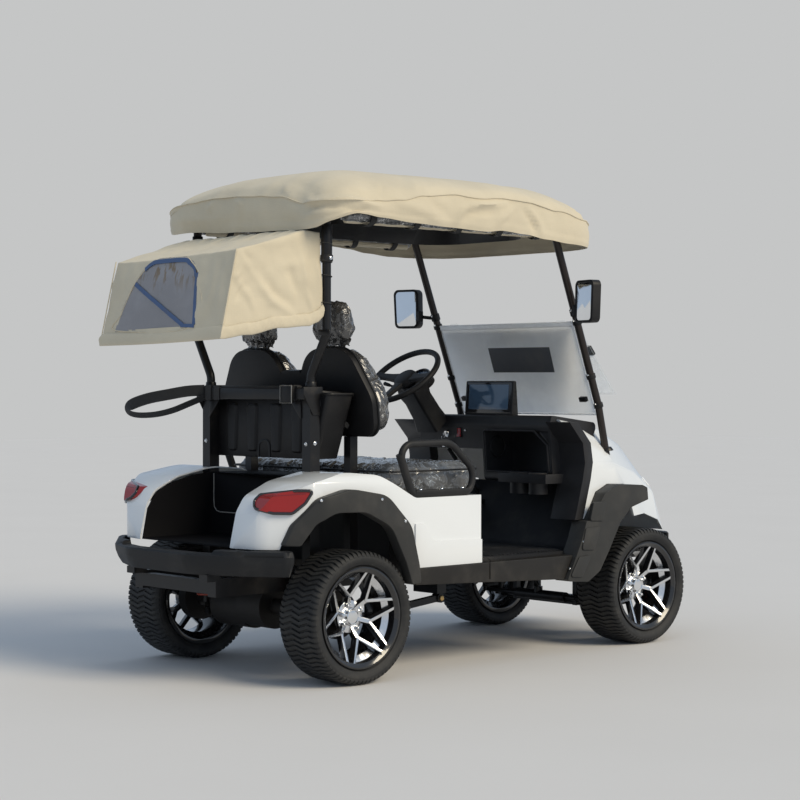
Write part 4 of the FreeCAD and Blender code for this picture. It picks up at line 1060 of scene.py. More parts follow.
@dataclass
class Wheels(Works):
    """Treaded tyres and the forked alloy wheels, each made once and copied to the four corners."""

    radius: float = 0.253
    base: float = 0.2455
    ribs: int = 72
    rib_width: float = 0.0125
    swing: float = 0.0068
    waves: float = 2.5
    nut_circle: float = 0.0508
    hub_face: float = 0.022
    tracks: tuple[float, float] = (0.894, 0.988)

    def carcass(self) -> Piece:
        """Tyre body: bead, bowed sidewall with raised rings, shoulder and smooth tread floor."""
        side = [(0.084, 0.1782), (0.084, 0.1945), (0.0885, 0.1990), (0.0935, 0.2010), (0.0945, 0.2035),
                (0.0985, 0.2065), (0.1015, 0.2140), (0.1022, 0.2150), (0.1022, 0.2162), (0.1028, 0.2172),
                (0.1045, 0.2240), (0.1040, 0.2300), (0.1012, 0.2362), (0.0960, 0.2412), (0.0900, 0.2440),
                (0.0600, self.base), (0.0200, self.base)]
        profile = side + [(-x, r) for x, r in reversed(side)]
        return Bench.lathe("tyre", profile, 128)

    def rib(self) -> Piece:
        """One zig-zag rib that crosses the tread and folds down both shoulders."""
        Bench.clear()
        bpy.ops.mesh.primitive_grid_add(x_subdivisions=30, y_subdivisions=3, size=1)
        rib = Bench.named("tread_rib")
        crown = [(0.0, self.radius - 0.0004), (0.080, self.radius - 0.0012), (0.094, self.radius - 0.0052),
                 (0.1030, 0.2395), (0.1052, 0.2315)]
        for vertex in rib.data.vertices:
            u, v = vertex.co.x * 2, vertex.co.y * 3
            reach = abs(u) * 0.118
            run = 0.0
            x, r = crown[-1]
            for (x0, r0), (x1, r1) in zip(crown, crown[1:]):
                step = math.hypot(x1 - x0, r1 - r0)
                if reach <= run + step:
                    share = (reach - run) / step
                    x, r = x0 + (x1 - x0) * share, r0 + (r1 - r0) * share
                    break
                run += step
            wave = math.asin(math.sin(u * math.pi * self.waves)) / (math.pi / 2)
            outer = abs(v) > 1
            wide = self.rib_width * (0.66 if outer else 0.5)
            along = wave * self.swing * (1 - 0.4 * abs(u) ** 3) + math.copysign(wide, v)
            depth = 0.0085 if outer or abs(u) > 0.99 else 0.0
            vertex.co = (math.copysign(x - (0.002 if depth else 0), u), along, r - depth)
        with Bench.editing():
            bpy.ops.mesh.fill_holes(sides=0)
            Bench.turn_out()
            bpy.ops.mesh.spin(steps=self.ribs - 1, dupli=True, angle=math.tau * (self.ribs - 1) / self.ribs,
                              center=(0, 0, 0), axis=(1, 0, 0))
        return rib

    def tyre(self) -> Piece:
        """Whole tyre about the origin."""
        return Bench.join("tyre", [Bench.smooth(self.carcass(), 35), Bench.smooth(self.rib(), 30)])

    def nuts(self) -> list[Piece]:
        """Four domed wheel nuts with their washers."""
        made = []
        for k in range(4):
            turn = math.radians(45 + 90 * k + 16)
            y, z = self.nut_circle * math.cos(turn), self.nut_circle * math.sin(turn)
            for name, start, end, radius, far, sides in (("nut", -0.002, 0.016, 0.0105, None, 6),
                                                         ("dome", 0.015, 0.023, 0.0085, 0.004, 20),
                                                         ("washer", -0.001, 0.002, 0.013, None, 24)):
                piece = Bench.rod(name, (self.hub_face + start, y, z), (self.hub_face + end, y, z), radius,
                                  far, sides)
                made.append(Bench.soften(piece, 0.0012, 2))
        return made

    def cap(self) -> Piece:
        """Chromed centre cap: stepped ring round a blank dished plate."""
        x = self.hub_face
        profile = [(x, 0.0), (x, 0.0345), (x + 0.004, 0.0345), (x + 0.006, 0.0325), (x + 0.020, 0.0305),
                   (x + 0.0225, 0.0285), (x + 0.0225, 0.0255), (x + 0.0195, 0.0235), (x + 0.0205, 0.0120),
                   (x + 0.0210, 0.0)]
        return Bench.smooth(Bench.lathe("cap", profile, 48), 30)

    def alloy(self) -> Piece:
        """Cast wheel about the origin: black with machined spoke faces, nuts and cap."""
        piece = Bench.copy_node("rim", self.cart.nodes["rim_rear_left"])
        piece.data.transform(Matrix.Translation((-self.tracks[1] / 2, -REAR_AXLE, -self.radius)))
        piece.data.materials.clear()
        for kind in (GLOSS_RIM, FACE):
            piece.data.materials.append(self.cart.finish(kind))
        for face in piece.data.polygons:
            spot = face.center
            reach = math.hypot(spot.y, spot.z)
            spoke = face.normal.x > 0.62 and 0.0215 < spot.x < 0.089 and 0.033 < reach < 0.1705
            face.material_index = 1 if spoke and face.area < 0.0025 else 0
        Bench.soften(piece, 0.0011, 2, 24)
        bright = self.nuts() + [self.cap()]
        for part in bright:
            part.data.materials.clear()
            part.data.materials.append(self.cart.finish(CHROME))
        return Bench.join("rim", [piece] + bright)

    def valve(self) -> Piece:
        """Short black valve stem inside the outer lip."""
        turn = math.radians(46)
        y, z = 0.158 * math.cos(turn), 0.158 * math.sin(turn)
        stem = Bench.rod("valve", (0.070, y, z), (0.092, y * 0.985, z * 0.985), 0.0042, 0.0034, 12)
        return Bench.soften(stem, 0.0008, 1)

    def build(self) -> None:
        """Make the two masters and place a copy of each at every corner."""
        tyre, rim = self.tyre(), self.alloy()
        stem = self.valve()
        stem.data.materials.append(self.cart.finish(BLACK))
        rim = Bench.join("rim", [rim, stem])
        for end, axle, track in (("front", FRONT_AXLE, self.tracks[0]), ("rear", REAR_AXLE, self.tracks[1])):
            for side in Side:
                corner = f"{end}_{side.tag}"
                for master, kind in ((tyre, TYRE), (rim, None)):
                    piece = Bench.twin(f"{master.name}_{corner}_dressed", master, mirror=side is Side.RIGHT)
                    piece.data.transform(Matrix.Translation((side.value * track / 2, axle, self.radius)))
                    slot = "tyre" if kind else "alloy"
                    self.cart.add(piece, kind, f"wheel_{corner}", [f"{master.name}_{corner}"], slot)
        for master in (tyre, rim):
            bpy.data.objects.remove(master)


# Cloth shaping

@dataclass(frozen=True)
class Fold:
    """One crease or soft ridge of cloth: its line, half width, and how far it stands out."""

    line: Sequence[Point]
    width: float
    lift: float


def along(table: Sequence[tuple[float, float]], at: float) -> float:
    """Height from a table of stations, smoothed between them."""
    rows = sorted(table)
    if at <= rows[0][0]:
        return rows[0][1]
    for (a, u), (b, v) in zip(rows, rows[1:]):
        if at <= b:
            share = (at - a) / (b - a)
            return u + (v - u) * share * share * (3 - 2 * share)
    return rows[-1][1]


class Relief:
    """Folds and slack, laid on a sheet along its own normals."""

    def __init__(self, folds: Sequence[Fold], slack: Sequence[tuple[Point, float, float]]) -> None:
        """Keep the folds and the layers of slack, each a stretch, cells a metre and depth."""
        self.folds = folds
        self.slack = slack

    @staticmethod
    def ridge(places: np.ndarray, fold: Fold) -> np.ndarray:
        """Height of one fold at many places: a crest with a shallow trough on each side."""
        line = np.array(fold.line, dtype=float)
        runs = np.linalg.norm(np.diff(line, axis=0), axis=1)
        total = runs.sum()
        best = np.full(len(places), 9.0)
        where = np.zeros(len(places))
        start = 0.0
        for a, b, run in zip(line, line[1:], runs):
            step = b - a
            share = np.clip((places - a) @ step / (step @ step), 0, 1)
            gap = np.linalg.norm(places - (a + share[:, None] * step), axis=1)
            nearer = gap < best
            best = np.where(nearer, gap, best)
            where = np.where(nearer, (start + share * run) / total, where)
            start += run
        taper = np.sin(np.pi * np.clip(where * 0.9 + 0.05, 0, 1)) ** 0.6
        q = best / fold.width
        return fold.lift * taper * (1.3 * np.exp(-q * q) - 0.3 * np.exp(-q * q / 4))

    def lay(self, piece: Piece, hold: Callable[[Vector], float]) -> None:
        """Move every vertex along its normal.

        Args:
            piece: The sheet.
            hold: How free the cloth is at a place, from 0, held, to 1, free.
        """
        vertices = piece.data.vertices
        places = np.array([v.co[:] for v in vertices])
        lift = np.zeros(len(places))
        for fold in self.folds:
            lift += self.ridge(places, fold)
        for number, (stretch, scale, depth) in enumerate(self.slack):
            shift = Vector((number * 7.3, 3.1, 1.7))
            for i, vertex in enumerate(vertices):
                spot = Vector([c * s * scale for c, s in zip(vertex.co, stretch)])
                lift[i] += depth * noise.noise(spot + shift)
        free = np.array([hold(v.co) for v in vertices])
        Relief.push(piece, places, lift * free)

    @staticmethod
    def push(piece: Piece, places: np.ndarray, lift: np.ndarray) -> None:
        """Move every vertex from its place along its normal by its own amount."""
        normals = np.array([n.vector[:] for n in piece.data.vertex_normals])
        piece.data.vertices.foreach_set("co", (places + normals * lift[:, None]).ravel())
        piece.data.update()


@dataclass
class RoofCover(Works):
    """Fabric drawn over the roof: crowned top, piped seam, slack valance and a wavy hem."""

    half: float = 0.562
    front_edge: float = front(205)
    back_edge: float = rear(130)
    front_round: float = 0.340
    rear_round: float = 0.150
    spacing: float = 0.0145
    cloth: float = 0.0025
    crown: tuple = ((0.0, 1.858), (0.034, 1.900), (0.120, 1.944), (0.250, 1.974), (0.400, 1.985),
                    (0.562, 1.985))
    side_hem: tuple = ((62, 1.771), (12, 1.777), (-38, 1.774), (-114, 1.767), (-280, 1.757), (-484, 1.750),
                       (-678, 1.745), (-775, 1.754), (-921, 1.746), (-1047, 1.732), (-1181, 1.722),
                       (-1400, 1.716))
    rear_hem: tuple = ((0.56, 1.748), (0.458, 1.743), (0.349, 1.746), (0.061, 1.731), (-0.188, 1.723),
                       (-0.367, 1.717), (-0.460, 1.718), (-0.517, 1.733), (-0.585, 1.761))
    side_seam: tuple = ((99, 1.818), (0, 1.822), (-114, 1.833), (-223, 1.840), (-338, 1.864), (-498, 1.880),
                        (-631, 1.872), (-787, 1.885), (-942, 1.880), (-1113, 1.855), (-1269, 1.830),
                        (-1420, 1.822))
    rear_seam: tuple = ((0.50, 1.855), (0.403, 1.861), (0.176, 1.872), (0.073, 1.872), (-0.127, 1.861),
                        (-0.249, 1.852), (-0.402, 1.818), (-0.494, 1.818))
    valance: tuple = (0, 0.09, 0.18, 0.22, 0.34, 0.46, 0.58, 0.70, 0.80, 0.89, 0.95, 1.0)
    insets: tuple = (0.003, 0.010, 0.020, 0.031, 0.043, 0.058, 0.075, 0.093, 0.112, 0.134, 0.158, 0.184,
                     0.212, 0.244, 0.280, 0.320, 0.365, 0.410, 0.455, 0.500, 0.540)

    @property
    def middle(self) -> float:
        """Y of the plan's middle."""
        return (self.front_edge + self.back_edge) / 2

    def plan(self, inset: float, angle: float) -> Vector:
        """Point of the plan outline, drawn in by an inset, in one direction from its middle."""
        half = self.half - inset
        reach = (self.back_edge - self.front_edge) / 2 - inset
        way = Vector((math.cos(angle), math.sin(angle)))
        ahead = way.y < 0
        radius = max(0.004, self.front_round - 0.7 * inset if ahead else self.rear_round - 0.3 * inset)
        radius = min(radius, half, reach)
        low, high = 0.0, 2.0
        for _ in range(30):
            size = (low + high) / 2
            qx = abs(way.x) * size - (half - radius)
            qy = abs(way.y) * size - (reach - radius)
            out = math.hypot(max(qx, 0), max(qy, 0)) + min(max(qx, qy), 0) - radius
            low, high = (low, size) if out > 0 else (size, high)
        return Vector((way.x * low, self.middle + way.y * low))

    def angles(self) -> list[float]:
        """Directions whose outline points stand an even distance apart, the same on both sides."""
        fine = [-math.pi / 2 + math.pi * k / 1600 for k in range(1601)]
        spots = [self.plan(0, a) for a in fine]
        runs = [0.0]
        for a, b in zip(spots, spots[1:]):
            runs.append(runs[-1] + (b - a).length)
        count = round(runs[-1] / self.spacing)
        chosen = [float(np.interp(runs[-1] * k / count, runs, fine)) for k in range(count + 1)]
        return chosen + [math.pi - a for a in reversed(chosen[1:-1])]

    def edge_height(self, spot: Vector, side: tuple, back: tuple, ahead: float) -> float:
        """Height of a line round the valance: side, back and front tables blended round the corners."""
        off = (spot.y - REAR_AXLE) * 1000
        along_side = along(side, off)
        corner_y = self.back_edge - self.rear_round if spot.y > 0 else self.front_edge + self.front_round
        share = min(1.0, max(0.0, (spot.y - corner_y) / (self.back_edge - corner_y) if spot.y > 0
                             else (corner_y - spot.y) / (corner_y - self.front_edge)))
        other = along(back, spot.x) if spot.y > 0 else ahead
        return along_side + (other - along_side) * share ** 1.5

    def height(self, inset: float, spot: Vector, seam: float) -> float:
        """Crown height so far in from the edge, eased to the seam's height at the edge."""
        top = self.crown[-1][1]
        full = along_crown(self.crown, inset)
        z = seam + (full - self.crown[0][1]) * (top - seam) / (top - self.crown[0][1])
        drop = 0.024 * smooth_share(spot.y, self.front_edge + 0.42, self.front_edge + 0.02)
        drop += 0.020 * smooth_share(spot.x, 0.10, 0.50) * smooth_share(spot.y, 0.45, 0.85)
        return z - drop * (1 - smooth_share(inset, 0.16, 0.40))

    def folds(self) -> list[Fold]:
        """The creases that show in the photograph, and a few of the same kind on the far side."""
        x = -self.half
        seen = [
            Fold([(-0.408, 0.928, 1.815), (-0.462, 0.919, 1.819), (-0.503, 0.896, 1.822),
                  (-0.534, 0.864, 1.824), (-0.557, 0.816, 1.822), (x, 0.751, 1.815),
                  (x, 0.690, 1.808)], 0.012, 0.016),
            Fold([(-0.425, 0.927, 1.797), (-0.470, 0.916, 1.794), (-0.515, 0.887, 1.797),
                  (-0.549, 0.838, 1.792), (x, 0.76, 1.788)], 0.011, -0.013),
            Fold([(-0.470, 0.916, 1.828), (-0.445, 0.915, 1.867), (-0.389, 0.887, 1.903)], 0.009, 0.009),
            Fold([(-0.491, 0.905, 1.828), (-0.503, 0.896, 1.853), (-0.491, 0.876, 1.881)], 0.008, 0.009),
            Fold([(-0.505, 0.895, 1.830), (-0.535, 0.850, 1.855), (-0.540, 0.800, 1.880)], 0.008, 0.007),
            Fold([(-0.453, 0.922, 1.822), (-0.379, 0.928, 1.842), (-0.309, 0.928, 1.850)], 0.010, 0.010),
            Fold([(-0.172, 0.830, 1.932), (-0.276, 0.916, 1.873), (-0.321, 0.928, 1.848)], 0.008, 0.008),
            Fold([(-0.300, 0.880, 1.905), (-0.400, 0.905, 1.882), (-0.440, 0.915, 1.855)], 0.018, -0.008),
            Fold([(-0.512, 0.630, 1.908), (-0.546, 0.656, 1.877), (x, 0.686, 1.855)], 0.010, -0.011),
            Fold([(-0.408, 0.928, 1.758), (-0.453, 0.922, 1.777), (-0.503, 0.896, 1.790)], 0.014, 0.009),
            Fold([(0.156, 0.927, 1.858), (0.190, 0.928, 1.837), (0.157, 0.928, 1.818)], 0.016, 0.010),
            Fold([(0.016, 0.928, 1.856), (-0.022, 0.928, 1.834), (-0.03, 0.928, 1.81)], 0.018, 0.009),
            Fold([(0.40, 0.925, 1.80), (0.25, 0.928, 1.79), (0.10, 0.928, 1.775)], 0.026, 0.008),
            Fold([(-0.455, 0.403, 1.937), (-0.536, 0.457, 1.890), (-0.554, 0.456, 1.868)], 0.010, -0.010),
            Fold([(x, 0.277, 1.781), (x, 0.265, 1.819), (x, 0.212, 1.839),
                  (x, 0.094, 1.850), (-0.559, -0.005, 1.861)], 0.013, 0.013),
            Fold([(x, 0.250, 1.775), (x, 0.230, 1.805), (x, 0.150, 1.822),
                  (x, 0.06, 1.828)], 0.018, -0.011),
            Fold([(x, 0.046, 1.785), (x, -0.003, 1.825), (x, -0.051, 1.851)], 0.012, 0.012),
            Fold([(x, -0.101, 1.845), (x, -0.151, 1.810), (x, -0.176, 1.762)], 0.014, -0.013),
            Fold([(x, -0.13, 1.845), (x, -0.19, 1.80), (x, -0.215, 1.755)], 0.016, 0.010),
            Fold([(-0.487, 0.006, 1.921), (-0.514, 0.015, 1.907), (-0.55, 0.02, 1.885)], 0.008, -0.008),
            Fold([(-0.509, -0.399, 1.908), (-0.545, -0.425, 1.872), (-0.543, -0.480, 1.840)], 0.012, -0.012),
            Fold([(-0.48, -0.43, 1.90), (-0.525, -0.465, 1.868), (-0.52, -0.52, 1.83)], 0.012, 0.010),
            Fold([(x, 0.60, 1.832), (x, 0.52, 1.815), (x, 0.42, 1.79), (x, 0.36, 1.77)],
                 0.022, 0.009),
            Fold([(x, 0.43, 1.85), (x, 0.38, 1.82), (x, 0.33, 1.80)], 0.016, -0.008),
        ]
        far = [Fold([(-a, b, c) for a, b, c in fold.line], fold.width * 1.1, fold.lift * 0.8)
               for fold in seen if fold.line[0][0] < -0.5]
        return seen + far

    def rows(self) -> list[list[Vector]]:
        """Rows of points from the hem up over the seam to the middle of the crown."""
        turns = self.angles()
        rim = [self.plan(0, a) for a in turns]
        hems = [self.edge_height(p, self.side_hem, self.rear_hem, 1.722) for p in rim]
        seams = [self.edge_height(p, self.side_seam, self.rear_seam, 1.822) for p in rim]
        rows = []
        for share in self.valance:
            bow = 0.007 * math.sin(math.pi * min(1.0, share * 1.05)) - 0.003 * (1 - share)
            bow += 0.0018 if share < 0.2 else 0.0
            spots = [self.plan(-bow, a) for a in turns]
            rows.append([Vector((p.x, p.y, low + (high - low) * share))
                         for p, low, high in zip(spots, hems, seams)])
        for inset in self.insets:
            spots = [self.plan(inset, a) for a in turns]
            rows.append([Vector((p.x, p.y, self.height(inset, p, high))) for p, high in zip(spots, seams)])
        return rows + [[Vector((0, p.y, p.z + 0.0005)) for p in rows[-1]]]

    def hold(self, spot: Vector) -> float:
        """The cloth is freest on the valance and tight over the crown."""
        return 1.0 if spot.z < 1.86 else max(0.25, 1.0 - (spot.z - 1.86) / 0.11)

    def liner(self) -> None:
        """The moulded roof under the fabric, its lip raised so that the hem hides it."""
        piece = Bench.copy_node("roof_liner", self.cart.nodes["roof_panel"])
        for vertex in piece.data.vertices:
            co = vertex.co
            if co.z < 1.76:
                co.z = 1.804
            elif co.z > 1.84 and abs(co.x) > 0.02:
                edge = 1 - smooth_share(self.near_edge(co), 0.10, 0.40)
                co.z -= 0.010 + 0.045 * edge
            draw = 1 - 0.034 * (1 - smooth_share(self.near_edge(co), 0.05, 0.09))
            co.x *= draw
            co.y = self.middle + (co.y - self.middle) * draw
        self.cart.add(Bench.smooth(Bench.outward(piece), 30), BLACK, replaces=["roof_panel"])

    def near_edge(self, spot: Vector) -> float:
        """Distance in from the plan's straight edges."""
        return min(self.half - abs(spot.x), self.back_edge - spot.y, spot.y - self.front_edge)

    def build(self) -> None:
        """Make the cover with its piping, and the roof inside it."""
        rows = self.rows()
        piece = Bench.outward(Bench.skin("roof_cover_cloth", rows, wrap=True))
        Relief(self.folds(), (((1, 1, 1.5), 3.2, 0.010), ((1, 1, 1), 8.5, 0.006), ((1, 1, 0.6), 19, 0.0026))
               ).lay(piece, self.hold)
        around = len(rows[0])
        first = (len(self.valance) - 1) * around
        seam = [piece.data.vertices[first + k].co.copy() for k in range(around)]
        middle = Vector((0, self.middle, 1.80))
        cord = Bench.sweep("piping", [p + (p - middle).normalized() * 0.0012 for p in seam], 0.0026, True, 2)
        Bench.modify(piece, "SOLIDIFY", thickness=self.cloth, offset=-1)
        piece = Bench.join("roof_cover_cloth", [piece, cord])
        Bench.smooth(piece, 60)
        self.cart.add(piece, CREAM, replaces=["roof_cover"])
        self.liner()


def smooth_share(value: float, low: float, high: float) -> float:
    """Smooth rise from 0 at low to 1 at high; low may be the greater."""
    share = min(1.0, max(0.0, (value - low) / (high - low)))
    return share * share * (3 - 2 * share)


def along_crown(table: Sequence[tuple[float, float]], at: float) -> float:
    """Height on the crown's profile, a smooth curve through its stations."""
    for i, ((a, u), (b, v)) in enumerate(zip(table, table[1:])):
        if at <= b or i == len(table) - 2:
            before = table[i - 1] if i else (a - (b - a), u - (v - u) * 1.15)
            after = table[i + 2] if i + 2 < len(table) else (b + (b - a), v)
            into = (v - before[1]) / (b - before[0])
            out = (after[1] - u) / (after[0] - a)
            t = (at - a) / (b - a)
            run = b - a
            return ((2 * t ** 3 - 3 * t ** 2 + 1) * u + (t ** 3 - 2 * t ** 2 + t) * run * into
                    + (3 * t ** 2 - 2 * t ** 3) * v + (t ** 3 - t ** 2) * run * out)
    return table[-1][1]


@dataclass
class BagCover(Works):
    """Fabric hood over the bag well: creased side, hemmed skirt, and a clouded window behind."""

    stations: int = 44
    steps: int = 26
    across: int = 62
    cloth: float = 0.0025
    back_top: tuple = ((0.392, rear(439), 1.618), (-0.402, rear(453), 1.629))
    back_low: tuple = ((0.400, rear(511), 1.284), (-0.412, rear(534), 1.297))
    side_low: tuple = ((0, 1.392), (26, 1.369), (74, 1.353), (209, 1.343), (365, 1.314), (490, 1.297))
    band: float = 0.052
    joint_z: float = 1.7135
    joint_share: float = 0.16

    def low(self, side: int, share: float) -> Vector:
        """Point of the skirt's hem on one side."""
        corner = Vector(self.back_low[0] if side > 0 else self.back_low[1])
        start = Vector((corner.x, rear(46), 1.390))
        spot = start.lerp(corner, share)
        reach, end = self.side_low[-1]
        spot.z = along(self.side_low, share * reach) + (corner.z - end) * share
        return spot

    def top(self, side: int, share: float) -> Vector:
        """Point of the hood's upper edge on one side."""
        corner = Vector(self.back_top[0] if side > 0 else self.back_top[1])
        joint = Vector((corner.x * 1.005, rear(128), self.joint_z))
        if share < self.joint_share:
            return Vector((joint.x, rear(54), self.joint_z)).lerp(joint, share / self.joint_share)
        return joint.lerp(corner, (share - self.joint_share) / (1 - self.joint_share))

    def wall(self, side: int, share: float, up: float) -> Vector:
        """Point of one side's wall, between its hem and its upper edge."""
        return self.low(side, share).lerp(self.top(side, share), up)

    def section(self, share: float) -> list[Vector]:
        """One ring from the left hem over the top to the right hem."""
        left, right = ([self.wall(s, share, k / self.steps) for k in range(self.steps)] for s in (1, -1))
        roof = []
        for k in range(self.across + 1):
            u = k / self.across
            spot = self.top(1, share).lerp(self.top(-1, share), u)
            spot.z -= 0.006 * math.sin(math.pi * u) * smooth_share(share, self.joint_share, 0.5)
            roof.append(spot)
        return left + roof + right[::-1]

    def back(self) -> list[list[Vector]]:
        """Rear panel, whose edges match the last ring."""
        rows = []
        for k in range(self.steps + 1):
            a, b = (self.wall(s, 1, k / self.steps) for s in (1, -1))
            row = []
            for c in range(self.across + 1):
                spot = a.lerp(b, c / self.across)
                bow = math.sin(math.pi * c / self.across)
                spot.y += 0.007 * bow * math.sin(math.pi * k / self.steps)
                spot.z -= 0.004 * bow * (1 - k / self.steps) + (0.006 * bow if k == self.steps else 0)
                row.append(spot)
            rows.append(row)
        return rows

    def folds(self) -> list[Fold]:
        """Creases on the near side, round the window, at the roof joint, and on the far side."""
        x = -0.412
        side = [
            Fold([(-0.406, 1.235, 1.621), (x, 1.215, 1.590), (x, 1.190, 1.558), (x, 1.165, 1.52)], 0.011,
                 0.010),
            Fold([(x, 1.228, 1.615), (x, 1.20, 1.60), (x, 1.16, 1.585)], 0.012, -0.009),
            Fold([(-0.369, 1.257, 1.526), (-0.402, 1.257, 1.524), (x, 1.233, 1.545)], 0.008, 0.009),
            Fold([(-0.366, 1.243, 1.591), (-0.376, 1.248, 1.568), (-0.371, 1.256, 1.529)], 0.010, -0.008),
            Fold([(-0.402, 1.257, 1.524), (x, 1.233, 1.494), (x, 1.198, 1.456), (x, 1.17, 1.40)], 0.012,
                 0.010),
            Fold([(x, 1.256, 1.44), (x, 1.241, 1.462), (x, 1.226, 1.483), (x, 1.20, 1.50)], 0.010, -0.009),
            Fold([(x, 1.160, 1.530), (x, 1.140, 1.497), (x, 1.089, 1.442), (x, 0.986, 1.393)], 0.016, 0.012),
            Fold([(x, 1.13, 1.53), (x, 1.08, 1.475), (x, 1.0, 1.425)], 0.022, -0.010),
            Fold([(x, 0.922, 1.482), (x, 0.903, 1.436), (x, 0.888, 1.413)], 0.010, 0.009),
            Fold([(x, 1.059, 1.569), (x, 0.956, 1.585)], 0.020, 0.008),
            Fold([(x, 1.015, 1.582), (x, 0.986, 1.514), (x, 0.956, 1.458)], 0.022, -0.010),
            Fold([(x, 0.940, 1.62), (x, 0.930, 1.55), (x, 0.925, 1.50)], 0.016, 0.008),
            Fold([(x, 0.873, 1.612), (x, 0.858, 1.548), (x, 0.862, 1.490)], 0.010, 0.008),
            Fold([(x, 1.15, 1.66), (x, 1.05, 1.665), (x, 0.95, 1.685)], 0.018, 0.006),
        ]
        wrinkles = [
            Fold([(-0.249, 1.254, 1.540), (-0.279, 1.263, 1.499), (-0.263, 1.272, 1.453)], 0.008, 0.007),
            Fold([(-0.244, 1.269, 1.471), (-0.270, 1.277, 1.430), (-0.273, 1.287, 1.384)], 0.008, 0.007),
            Fold([(-0.279, 1.259, 1.516), (-0.312, 1.263, 1.497), (-0.296, 1.269, 1.469)], 0.009, -0.007),
            Fold([(-0.214, 1.256, 1.530), (-0.231, 1.265, 1.489)], 0.007, 0.006),
            Fold([(-0.33, 1.25, 1.58), (-0.325, 1.27, 1.46), (-0.34, 1.29, 1.36)], 0.020, -0.007),
            Fold([(0.10, 1.243, 1.625), (0.0, 1.243, 1.630), (-0.12, 1.243, 1.630)], 0.006, 0.005),
        ]
        joint = []
        for k, at in enumerate((0.33, 0.26, 0.185, 0.115, 0.05, -0.02, -0.10, -0.18, -0.25, -0.33)):
            run = 0.060 + 0.045 * ((k * 37) % 10) / 10
            lean = 0.010 * math.sin(k * 2.1)
            joint.append(Fold([(at, rear(124), 1.714), (at + lean, rear(128 + run * 500), 1.700),
                               (at + lean * 2, rear(128 + run * 1000), 1.714 - run * 0.28)], 0.010, 0.008))
        far = [Fold([(-a, b, c) for a, b, c in fold.line], fold.width, fold.lift * 0.8) for fold in side[::2]]
        return side + wrinkles + joint + far

    def hem(self) -> Piece:
        """Turned-up band along the skirt, gathered on its thread."""
        left, right = ([(self.low(s, k / 36), self.top(s, k / 36)) for k in range(37)] for s in (1, -1))
        (low_left, top_left), (low_right, top_right) = left[-1], right[-1]
        across = [(low_left.lerp(low_right, k / 56), top_left.lerp(top_right, k / 56)) for k in range(1, 56)]
        ring = left + across + right[::-1]
        rows = []
        for share in (0.0, 0.02, 0.12, 0.3, 0.5, 0.7, 0.88, 0.98, 1.0):
            row = []
            for k, (low, top) in enumerate(ring):
                before, after = ring[max(0, k - 1)][0], ring[min(len(ring) - 1, k + 1)][0]
                out = (after - before).cross(top - low).normalized()
                behind = 36 < k < 93
                arch = math.sin(math.pi * share)
                bulge = arch ** 0.5 * (0.0055 if behind else 0.0075)
                gather = 0.0 if behind else 0.0035 * math.sin(k * 2.05 + share * 5) * arch
                spot = low + (top - low).normalized() * (self.band * share * (1.0 if behind else 0.9) - 0.002)
                spot.z -= 0.004 * math.sin(math.pi * (k - 36) / 56) if behind else 0.0
                row.append(spot + out * (0.0008 + bulge + gather))
            rows.append(row)
        piece = Bench.skin("hem_band", rows)
        Bench.modify(piece, "SOLIDIFY", thickness=0.0022, offset=-1)
        return piece

    def window_edge(self) -> list[tuple[float, float]]:
        """Across and height of the window's outline on the rear panel."""
        return [(0.300, 1.341), (0.283, 1.400), (0.258, 1.458), (0.224, 1.520), (0.186, 1.563),
                (0.143, 1.593), (0.098, 1.608), (0.060, 1.612), (-0.088, 1.610), (-0.140, 1.590),
                (-0.190, 1.555), (-0.198, 1.540), (-0.238, 1.348)]

    def on_back(self, across: float, height: float, off: float) -> Vector:
        """Point on the rear panel at one place across and one height."""
        u = (self.back_top[0][0] - across) / (self.back_top[0][0] - self.back_top[1][0])
        low = self.low(1, 1).lerp(self.low(-1, 1), u)
        top = self.top(1, 1).lerp(self.top(-1, 1), u)
        share = (height - low.z) / (top.z - low.z)
        y = low.y + (top.y - low.y) * share
        y += 0.007 * math.sin(math.pi * u) * math.sin(math.pi * min(1, max(0, share))) + off
        return Vector((across, y, height))

    def window(self) -> None:
        """Clouded pane in its opening, with blue tape round it and one tape across."""
        edge = smooth_path([(x, 0, z) for x, z in self.window_edge()[:9]], 3) + [
            Vector((x, 0, z)) for x, z in self.window_edge()[9:]]
        outline = [(p.x, p.z) for p in edge]
        middle = (0.03, 1.46)
        rows = []
        for share in (1.03, 0.85, 0.68, 0.5, 0.33, 0.16, 0.02):
            row = []
            for x, z in outline:
                u, w = middle[0] + (x - middle[0]) * share, middle[1] + (z - middle[1]) * share
                ripple = 0.0016 * math.sin(u * 70 + 1.5 * math.sin(w * 31)) * (1 - share * 0.8)
                row.append(self.on_back(u, w, 0.0012 + ripple))
            rows.append(row)
        pane = self.cart.add(Bench.smooth(Bench.closed_skin("bag_window", rows)), WINDOW)
        tapes = [
            ([(0.168, 1.576), (0.130, 1.596), (0.085, 1.603), (-0.086, 1.602), (-0.128, 1.588)], 0.017),
            ([(-0.120, 1.590), (-0.165, 1.566), (-0.186, 1.535)], 0.011),
            ([(-0.190, 1.548), (-0.206, 1.470), (-0.222, 1.400), (-0.231, 1.352)], 0.017),
            ([(-0.150, 1.351), (-0.195, 1.349), (-0.234, 1.347)], 0.013),
            ([(0.216, 1.522), (0.120, 1.478), (0.020, 1.434), (-0.080, 1.388), (-0.160, 1.352)], 0.016),
        ]
        for number, (line, width) in enumerate(tapes):
            path = smooth_path([(x, 0, z) for x, z in line], 5)
            rows = []
            for side in (-0.5, -0.2, 0.2, 0.5):
                row = []
                for k, p in enumerate(path):
                    ahead = path[min(k + 1, len(path) - 1)] - path[max(k - 1, 0)]
                    away = Vector((-ahead.z, 0, ahead.x)).normalized() * width * side
